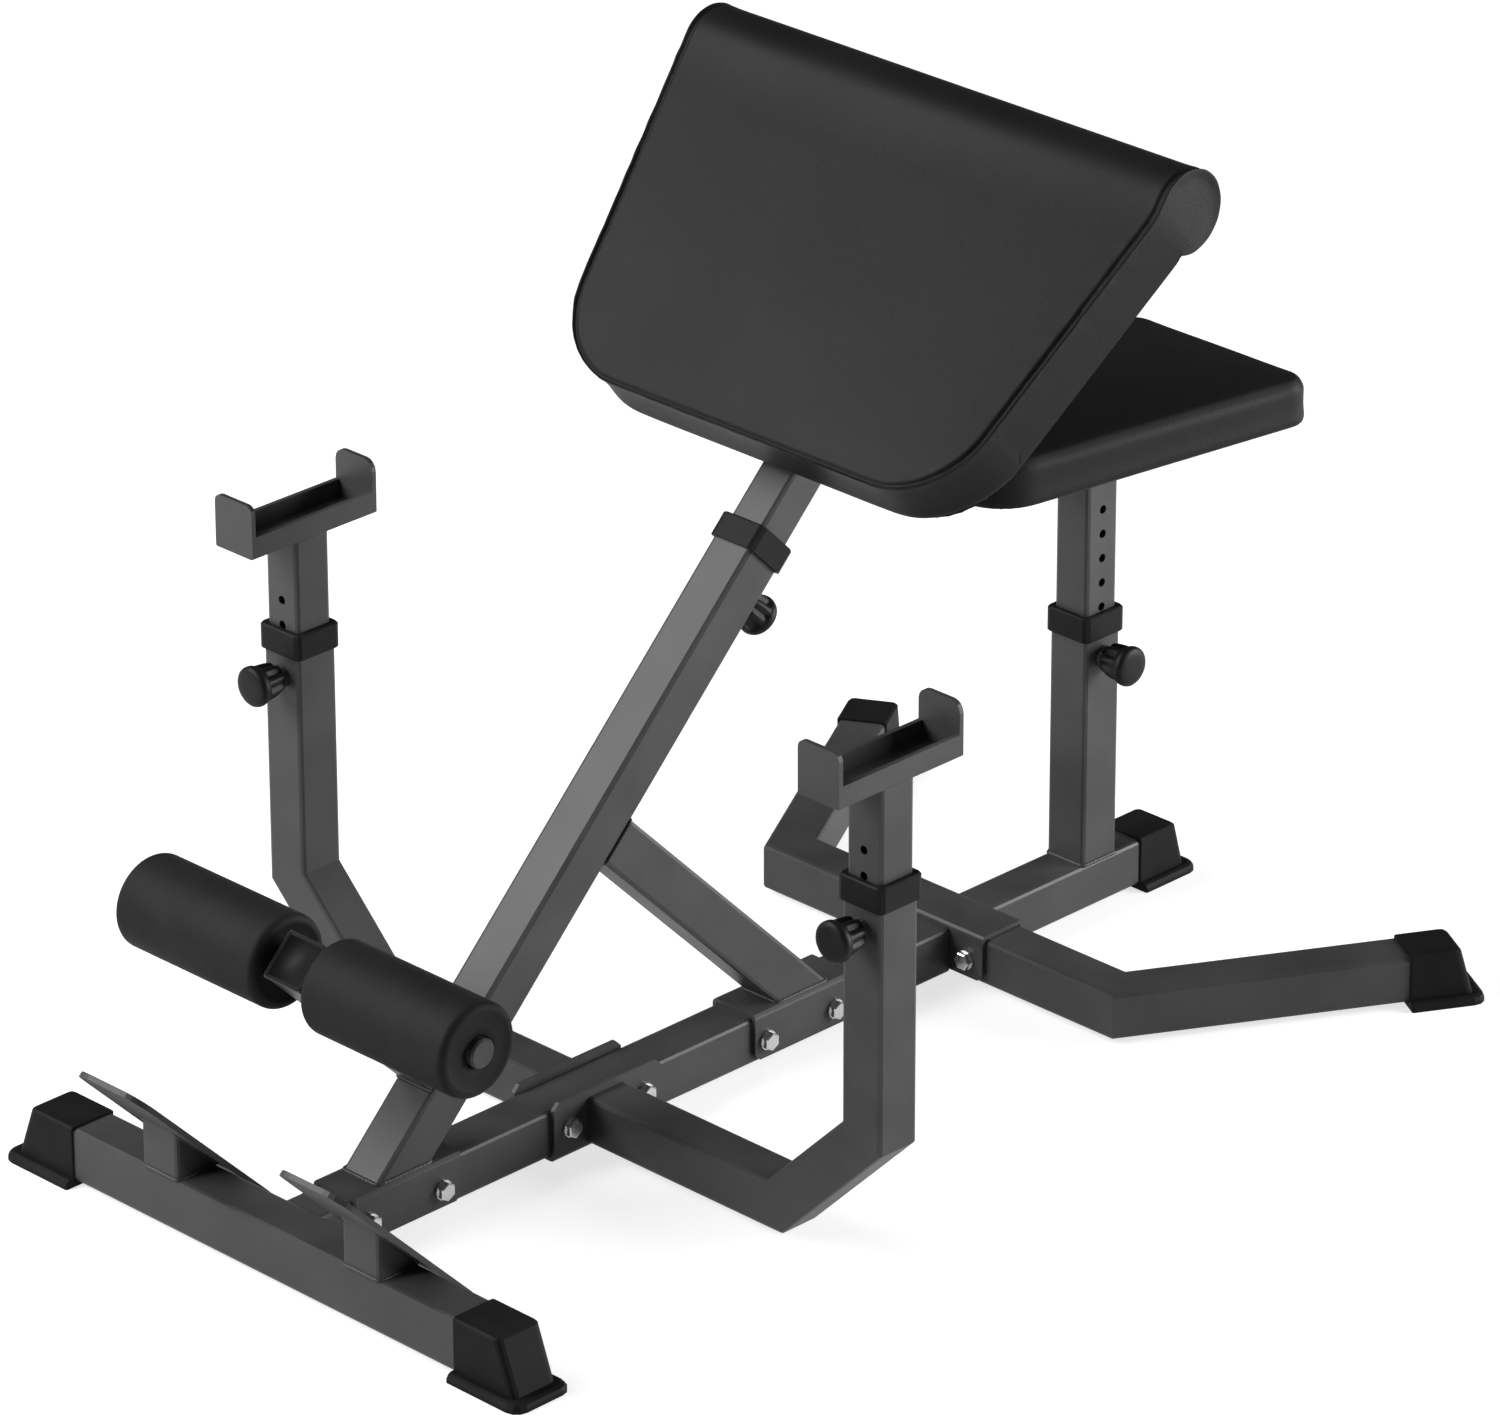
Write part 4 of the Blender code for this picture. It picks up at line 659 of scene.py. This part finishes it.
def seamed(made, seam, depth, wide):
    """Presses a sewn seam into a cushion, with a low lip and small puckers beside it, and gives
    back a search tree of the seam, from which the painted seam shade is measured."""
    reach = kdtree.KDTree(len(seam))
    for number, spot in enumerate(seam):
        reach.insert(spot, number)
    reach.balance()
    for near in (0.011, 0.006):
        close = {vertex for vertex in made.verts if reach.find(vertex.co)[2] < near}
        edges = [edge for edge in made.edges if edge.calc_length() > seam_mesh
                 and edge.verts[0] in close and edge.verts[1] in close]
        bmesh.ops.subdivide_edges(made, edges=edges, cuts=1, use_grid_fill=True)
    made.normal_update()
    steps = []
    for vertex in made.verts:
        distance = reach.find(vertex.co)[2]
        pucker = noise.noise(vertex.co * 70) * pucker_height
        pucker *= math.exp(-(distance / pucker_reach) ** 2)
        groove = -depth * math.exp(-(distance / wide) ** 2)
        lip = depth * 0.22 * math.exp(-((distance - 2.6 * wide) / (1.2 * wide)) ** 2)
        steps.append(vertex.normal * (groove + lip + pucker))
    for vertex, step in zip(made.verts, steps):
        vertex.co += step
    return reach


def turned_over(mesh, corners, radii, wide, place):
    """Adds the vinyl's edge to a cushion's mesh: turned over the board's back, pleated at the
    corners and stapled down. Place turns (x, y) and a depth behind the board into a point."""
    outer = board_line(corners, radii, board_inset - lap_overhang)
    inner = board_line(corners, radii, board_inset + wide)
    spots = []
    for i, (a, c) in enumerate(zip(outer, inner)):
        b, d = outer[(i + 1) % len(outer)], inner[(i + 1) % len(inner)]
        at_corner = i % (board_corner_steps + 1) < board_corner_steps
        count = max(round((b - a).length / lap_step), 3 if at_corner else 1)
        spots += [(a.lerp(b, k / count), c.lerp(d, k / count), at_corner) for k in range(count)]
    columns, rows = len(spots), len(lap_section)
    flap = bmesh.new()
    grid = bmesh.ops.create_grid(flap, x_segments=columns, y_segments=rows, size=0.5)["verts"]
    for vertex in grid:
        i = round((vertex.co.x + 0.5) * columns) % columns
        share, depth = lap_section[round((vertex.co.y + 0.5) * rows) % rows]
        a, b, pleated = spots[i]
        spot = a.lerp(b, share + lap_waver * noise.noise(Vector((i * 0.21, wide, 0))) * share)
        if pleated and depth > 0.001:
            depth += pleat_height * (i % 3 == 0)
        vertex.co = place(spot.x, spot.y, depth)
    bmesh.ops.remove_doubles(flap, verts=flap.verts, dist=1e-6)
    bmesh.ops.recalc_face_normals(flap, faces=flap.faces)
    part = smooth_mesh(flap, "flap")
    both = bmesh.new()
    both.from_mesh(mesh)
    both.from_mesh(part)
    both.to_mesh(mesh)
    both.free()
    return [(a.lerp(b, stapled_at), (b - a).normalized()) for a, b, pleated in spots]


def store_painted_shade(mesh, reach, wide):
    """Stores on the finished mesh how strongly painted shade darkens each spot near the seam."""
    mark = mesh.attributes.new("seam", "FLOAT", "POINT")
    for vertex, value in zip(mesh.vertices, mark.data):
        value.value = painted_shade_strength * math.exp(-(reach.find(vertex.co)[2] / wide) ** 2)


def on_pad_board(point):
    """1 where the pad lies on its board or on its flat sides, 0 where it is free to swell."""
    spot = to_post @ point
    return max(0.0, min(1.0, max((pad_back + 0.016 + spot.y) / 0.006,
                                 (abs(spot.x) - pad_half(spot.z) + 0.004) / 0.003)))


def behind_pad(x, y, depth):
    """A point behind the pad's board."""
    return on_post(x, pad_back - depth, y)


to_post = post_line.inverted()
side_line = pad_side_line()
corner_share = pad_corner / pad_lower_half
shares = [1 - corner_share * (1 - math.sin(math.radians(a))) for a in range(0, 91, 10)]
inner_shares = evenly(-shares[0], shares[0], 0.028)[1:-1]
shares = [-share for share in reversed(shares)] + inner_shares + shares
pad_skin = bmesh.new()
loops = [[pad_skin.verts.new(on_post(*pad_spot(share, along, out)))
          for along, out, way in side_line] for share in shares]
edges = [[pad_skin.edges.new((a, b)) for a, b in zip(loop, loop[1:] + loop[:1])]
         for loop in loops]
for first, second in zip(edges, edges[1:]):
    bmesh.ops.bridge_loops(pad_skin, edges=first + second)
upper = [i for i, spot in enumerate(side_line) if isinstance(spot[2], tuple)]
lower = next(i for i, spot in enumerate(side_line) if spot[2] == "seam")
lower_corners = {loop[lower] for loop in loops}
seam_run = [(shares[0], *side_line[i]) for i in reversed(upper)]
seam_run += [(share, pad_lower_edge, pad_face, (0, 1)) for share in shares]
seam_run += [(shares[-1], *side_line[i]) for i in upper]
seam_spots = [pad_spot(share, along, out) for share, along, out, way in seam_run]
seam_ways = [Vector((0, way[1], way[0])) for share, along, out, way in seam_run]
side_faces = [bmesh.ops.contextual_create(pad_skin, geom=loop)["faces"]
              for loop in (edges[0], edges[-1])]
pad_skin.normal_update()
rims = [edge for faces in side_faces for edge in faces[0].edges
        if edge.calc_face_angle() > math.radians(50)]
rims += [edge for edge in pad_skin.edges
         if all(vertex in lower_corners for vertex in edge.verts) and edge not in rims]
bmesh.ops.bevel(pad_skin, geom=rims, offset=pad_rim_round, segments=3, profile=0.5,
                affect="EDGES", material=-1, clamp_overlap=True)
side_faces = [face for face in pad_skin.faces if len(face.verts) > 60]
for thickness in (0.004, 0.006):
    bmesh.ops.inset_individual(pad_skin, faces=side_faces, thickness=thickness,
                               use_even_offset=False)
bmesh.ops.triangulate(pad_skin, faces=side_faces, ngon_method="BEAUTY")
drawn_in(pad_skin, 0.0006, on_pad_board)
pad_mesh = stuffed("arm_pad_cushion", pad_skin, 4, 0.003, on_pad_board)
pad_skin = bmesh.new()
pad_skin.from_mesh(pad_mesh)
skin_tree = BVHTree.FromBMesh(pad_skin)
seam_line = []
for i, spot in enumerate(seam_spots):
    run = seam_spots[min(i + 1, len(seam_spots) - 1)] - seam_spots[max(i - 1, 0)]
    if run.length < 1e-7:
        continue
    inward = run.cross(seam_ways[i]).normalized()
    if abs(inward.x) > 0.5 and inward.x * spot.x > 0 or abs(inward.x) <= 0.5 and inward.z < 0:
        inward = -inward
    seam_line.append(skin_tree.find_nearest(on_post(*(spot + inward * seam_inset)))[0])
fine_seam = []
for a, b in zip(seam_line, seam_line[1:]):
    count = max(int((b - a).length / seam_step), 1)
    fine_seam += [a.lerp(b, k / count) for k in range(count)]
pad_reach = seamed(pad_skin, fine_seam, seam_depth, seam_width)
pad_skin.to_mesh(pad_mesh)
pad_skin.free()
pad_mesh = softened("arm_pad_cushion", pad_mesh, 1)
board_end = roll_at - roll_radius - 0.004
board_half = pad_half(board_end)
pad_board_corners = [(-pad_lower_half, pad_lower_edge), (pad_lower_half, pad_lower_edge),
                     (board_half, board_end), (-board_half, board_end)]
pad_board_radii = [pad_corner, pad_corner, 0.02, 0.02]
pad_mesh = hollowed("arm_pad_cushion", pad_mesh,
                    board_line(pad_board_corners, pad_board_radii, board_inset - board_gap),
                    pad_back - 0.01, pad_back + board_thickness + board_gap,
                    lambda x, y, out: on_post(x, out, y))
pad_staples = turned_over(pad_mesh, pad_board_corners, pad_board_radii, 0.014, behind_pad)
# Stores the painted seam shade on the pad's mesh for the vinyl.
store_painted_shade(pad_mesh, pad_reach, 0.0018)
arm_cushion = show("arm_pad_cushion", smooth(pad_mesh), "arm_pad", vinyl)
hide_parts("pad_cushion")

# Seat. The same vinyl over foam on a board, narrower at the front, with its edge pulled over in
# one soft round.
seat_bottom, seat_thickness, seat_edge, seat_crown = 0.5103, 0.051, 0.010, 0.0012
seat_front_y, seat_length, seat_rear_half = 0.29891, 0.402, 0.1275
seat_splay = math.radians(9)
seat_front_half = seat_rear_half - seat_length * math.tan(seat_splay)
seat_corners = [(-seat_front_half, seat_front_y), (seat_front_half, seat_front_y),
                (seat_rear_half, seat_front_y + seat_length),
                (-seat_rear_half, seat_front_y + seat_length)]
seat_radii = [0.058, 0.058, 0.022, 0.022]
seat_rim = (  # how far in from the outline and down from the top each ring lies
    (0.0076, 0.0005), (0.0058, 0.0016), (0.0030, 0.0048), (0.0010, 0.0080), (0, 0.0122),
    (0.0004, 0.019), (0.0008, 0.027), (0.0006, 0.034), (0.0002, 0.041), (0.0002, 0.0455),
    (0.0022, 0.0478),
)


def on_seat_board(point):
    """1 where the seat lies on its board, 0 where it is free to swell."""
    return max(0.0, min(1.0, (seat_bottom + 0.014 - point.z) / 0.006))


def resampled(line, count):
    """A line cut again into a number of even steps, both ends included."""
    lengths = [0]
    for a, b in zip(line, line[1:]):
        lengths.append(lengths[-1] + (b - a).length)
    spots = []
    for k in range(count + 1):
        target = lengths[-1] * k / count
        i = min(max(j for j, reach in enumerate(lengths) if reach <= target + 1e-9),
                len(line) - 2)
        spots.append(line[i].lerp(line[i + 1], (target - lengths[i])
                                  / max(lengths[i + 1] - lengths[i], 1e-9)))
    return spots


columns, rows, corner_steps = 24, 44, 12
edge_line = board_line(seat_corners, seat_radii, seat_edge, corner_steps)
middles = [i * (corner_steps + 1) + corner_steps // 2 for i in range(4)]
stretches = []
for i in range(4):
    a, b = middles[i], middles[(i + 1) % 4]
    stretches.append(edge_line[a:b + 1] if a < b else edge_line[a:] + edge_line[:b + 1])
front = resampled(stretches[0], columns)
right_side = resampled(stretches[1], rows)
rear = list(reversed(resampled(stretches[2], columns)))
left_side = list(reversed(resampled(stretches[3], rows)))
seat_skin = bmesh.new()
grid = bmesh.ops.create_grid(seat_skin, x_segments=columns, y_segments=rows, size=0.5)["verts"]
for vertex in grid:
    u, v = vertex.co.x + 0.5, vertex.co.y + 0.5
    i, j = round(u * columns), round(v * rows)
    spot = (front[i] * (1 - v) + rear[i] * v + left_side[j] * (1 - u) + right_side[j] * u
            - front[0] * (1 - u) * (1 - v) - front[-1] * u * (1 - v)
            - rear[0] * (1 - u) * v - rear[-1] * u * v)
    dome = 16 * u * (1 - u) * v * (1 - v)
    vertex.co = (spot.x, spot.y, seat_bottom + seat_thickness - seat_crown * (1 - dome ** 0.5))
rim = [edge for edge in seat_skin.edges if edge.is_boundary]
for wide, drop in seat_rim:
    ring = bmesh.ops.extrude_edge_only(seat_skin, edges=rim)["geom"]
    rim = [item for item in ring if isinstance(item, bmesh.types.BMEdge)]
    corners = {vertex for edge in rim for vertex in edge.verts}
    target = board_line(seat_corners, seat_radii, wide, 24)
    closed = target + target[:1]
    for vertex in corners:
        flat = Vector((vertex.co.x, vertex.co.y))
        best = min(((a + (b - a) * max(0, min(1, (flat - a).dot(b - a)
                                              / max((b - a).length_squared, 1e-12))))
                    for a, b in zip(closed, closed[1:])), key=lambda spot: (spot - flat).length)
        vertex.co = (best.x, best.y, seat_bottom + seat_thickness - seat_crown - drop)
underside = bmesh.ops.contextual_create(seat_skin, geom=rim)["faces"]
for vertex in underside[0].verts:
    vertex.co.z = seat_bottom
bmesh.ops.inset_region(seat_skin, faces=underside, thickness=0.006, use_even_offset=True)
drawn_in(seat_skin, 0.0004, on_seat_board)
seat_mesh = stuffed("seat_cushion", seat_skin, 4, 0.003, on_seat_board)
seat_mesh = softened("seat_cushion", seat_mesh, 1)
seat_mesh = hollowed("seat_cushion", seat_mesh,
                     board_line(seat_corners, seat_radii, board_inset - board_gap),
                     seat_bottom - 0.01, seat_bottom + board_thickness + board_gap,
                     lambda x, y, height: Vector((x, y, height)))


def under_seat(x, y, depth):
    """A point under the seat's board."""
    return Vector((x, y, seat_bottom - depth))


seat_staples = turned_over(seat_mesh, seat_corners, seat_radii, 0.018, under_seat)
seat_cushion = show("seat_cushion", smooth(seat_mesh), "seat", vinyl)
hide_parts("seat_pad")

# Staples and screws. Galvanised wire staples hold the vinyl on the boards' backs, and
# button-head screws with washers hold the boards on the channels and on the seat's plate.
wire_size, staple_pitch, staple_depth = (0.0105, 0.0011, 0.0008), 0.034, 0.0013
one_wire = bmesh.new()
bmesh.ops.create_cube(one_wire, size=1)
crown = [edge for edge in one_wire.edges if all(vertex.co.z > 0 for vertex in edge.verts)
         and abs(edge.verts[0].co.x - edge.verts[1].co.x) < 0.1]
bmesh.ops.bevel(one_wire, geom=crown, offset=0.08, segments=2, profile=0.5, affect="EDGES",
                material=-1)
bmesh.ops.translate(one_wire, verts=one_wire.verts, vec=(0, 0, 0.5))
bmesh.ops.scale(one_wire, verts=one_wire.verts, vec=wire_size)
one_wire = smooth_mesh(one_wire, "staple")
for name, staples, place_at, body in (("pad", pad_staples, behind_pad, "arm_pad"),
                                      ("seat", seat_staples, under_seat, "seat")):
    wires, since = bmesh.new(), 0
    for number, (spot, way) in enumerate(staples):
        since += (spot - staples[number - 1][0]).length
        if since < staple_pitch:
            continue
        since = 0
        wire = bmesh.new()
        wire.from_mesh(one_wire)
        along = Matrix.Rotation(0.5 * noise.noise(Vector((number * 0.37, 5, 1))), 2) @ Vector(
            (-way.y, way.x))
        for vertex in wire.verts:
            flat = spot + along * vertex.co.x + Vector((-along.y, along.x)) * vertex.co.y
            vertex.co = place_at(flat.x, flat.y, staple_depth + vertex.co.z)
        bmesh.ops.recalc_face_normals(wire, faces=wire.faces)
        wires.from_mesh(smooth_mesh(wire, name + "_staple"))
    show(name + "_staples", smooth_mesh(wires, name + "_staples"), body, zinc)
screw_outline = [
    (0, 0.0022), (0.0012, 0.0022), (0.0016, 0.0026), (0.0017, 0.0046), (0.0024, 0.0047),
    (0.0037, 0.0042), (0.0047, 0.0031), (0.0050, 0.0018), (0.0050, 0.0014), (0.0070, 0.0014),
    (0.0075, 0.0010), (0.0075, 0.0002), (0, 0.0002),
]
channels_at, channel_back = (0.815, 0.970), 0.0033
socket_from, socket_to, socket_floor, sixth = 0.001, 0.002, 0.002, math.pi / 3
pad_screws = [(on_post(x, pad_back - channel_back, at), -out_of_post)
              for at in channels_at for x in (-0.145, -0.070, 0.070, 0.145)]
seat_screws = [(Vector((x, seat_post_y + y, seat_plate_at)), Vector((0, 0, -1)))
               for x in (-0.033, 0.033) for y in (-0.085, 0.085)]
for name, screws, body in (("pad", pad_screws, "arm_pad"), ("seat", seat_screws, "seat")):
    heads = bmesh.new()
    for foot, way in screws:
        head = spun(screw_outline, 24)
        for vertex in head.verts:
            radius = math.hypot(vertex.co.y, vertex.co.z)
            if socket_from < radius < socket_to and vertex.co.x > socket_floor:
                turn = (math.atan2(vertex.co.y, vertex.co.z) + sixth / 2) % sixth
                grow = 1 / math.cos(turn - sixth / 2)
                vertex.co.y *= grow
                vertex.co.z *= grow
        bmesh.ops.transform(head, verts=head.verts, matrix=aimed(foot, way))
        bmesh.ops.recalc_face_normals(head, faces=head.faces)
        heads.from_mesh(smooth_mesh(head, name + "_screw"))
    show(name + "_screws", smooth_mesh(heads, name + "_screws"), body, zinc)

# Floor and light. A white floor that glows a little to the camera, so that it ends in the white
# behind it, and less in reflections. Broad soft lights from the front left, from low behind on the
# right and, weaker, from high on the left, so that the tops stay darker than the sides.
floor_glow, mirrored_share = 0.72, 0.6
floor_mesh = bmesh.new()
bmesh.ops.create_grid(floor_mesh, x_segments=1, y_segments=1, size=30)
floor = placed("floor", smooth_mesh(floor_mesh, "floor"))
white = bpy.data.materials.new("white_floor")
white.use_nodes = True
white.node_tree.nodes.clear()
chalk = add(white, "BsdfDiffuse", {"Color": linear("#d2d2d2")})
glow = add(white, "Emission", {"Color": (1, 1, 1, 1), "Strength": floor_glow})
path = add(white, "LightPath")
mirrored = add(white, "Math", {0: path.outputs["Is Glossy Ray"], 1: mirrored_share},
               operation="MULTIPLY")
seen = add(white, "Math", {0: path.outputs["Is Camera Ray"], 1: mirrored.outputs["Value"]},
           operation="MAXIMUM")
unlit = add(white, "MixShader", {0: seen.outputs["Value"], 2: glow.outputs["Emission"]})
total = add(white, "AddShader", {0: chalk.outputs["BSDF"], 1: unlit.outputs["Shader"]})
add(white, "OutputMaterial", {"Surface": total.outputs["Shader"]})
floor.data.materials.append(white)


def soft_light(name, place_at, target, size, strength):
    """A square soft light that faces a point. Strength 1 lights a facing surface as it is."""
    lamp = bpy.data.lights.new(name, "AREA")
    lamp.shape = "SQUARE"
    lamp.size = size
    place_at, target = Vector(place_at), Vector(target)
    lamp.energy = strength * math.pi ** 2 * (place_at - target).length_squared
    holder = placed(name, lamp)
    holder.location = place_at
    holder.rotation_euler = (place_at - target).to_track_quat("Z", "Y").to_euler()


middle = (0, 0, 0.4)
soft_light("front_light", (-2.0, -3.2, 2.4), middle, 2.6, 0.70)
soft_light("right_light", (2.9, 3.3, 1.2), middle, 2.5, 1.10)
soft_light("left_light", (-3.6, -2.0, 4.0), middle, 2.5, 0.38)
world = bpy.data.worlds.new("studio")
bpy.context.scene.world = world
world.use_nodes = True
world.node_tree.nodes.clear()
path = add(world, "LightPath")
dim = add(world, "Background", {"Color": (1, 1, 1, 1), "Strength": 0.06})
bright = add(world, "Background", {"Color": (1, 1, 1, 1), "Strength": 1})
mixed = add(world, "MixShader", {0: path.outputs["Is Camera Ray"], 1: dim.outputs["Background"],
                                 2: bright.outputs["Background"]})
add(world, "OutputWorld", {"Surface": mixed.outputs["Shader"]})
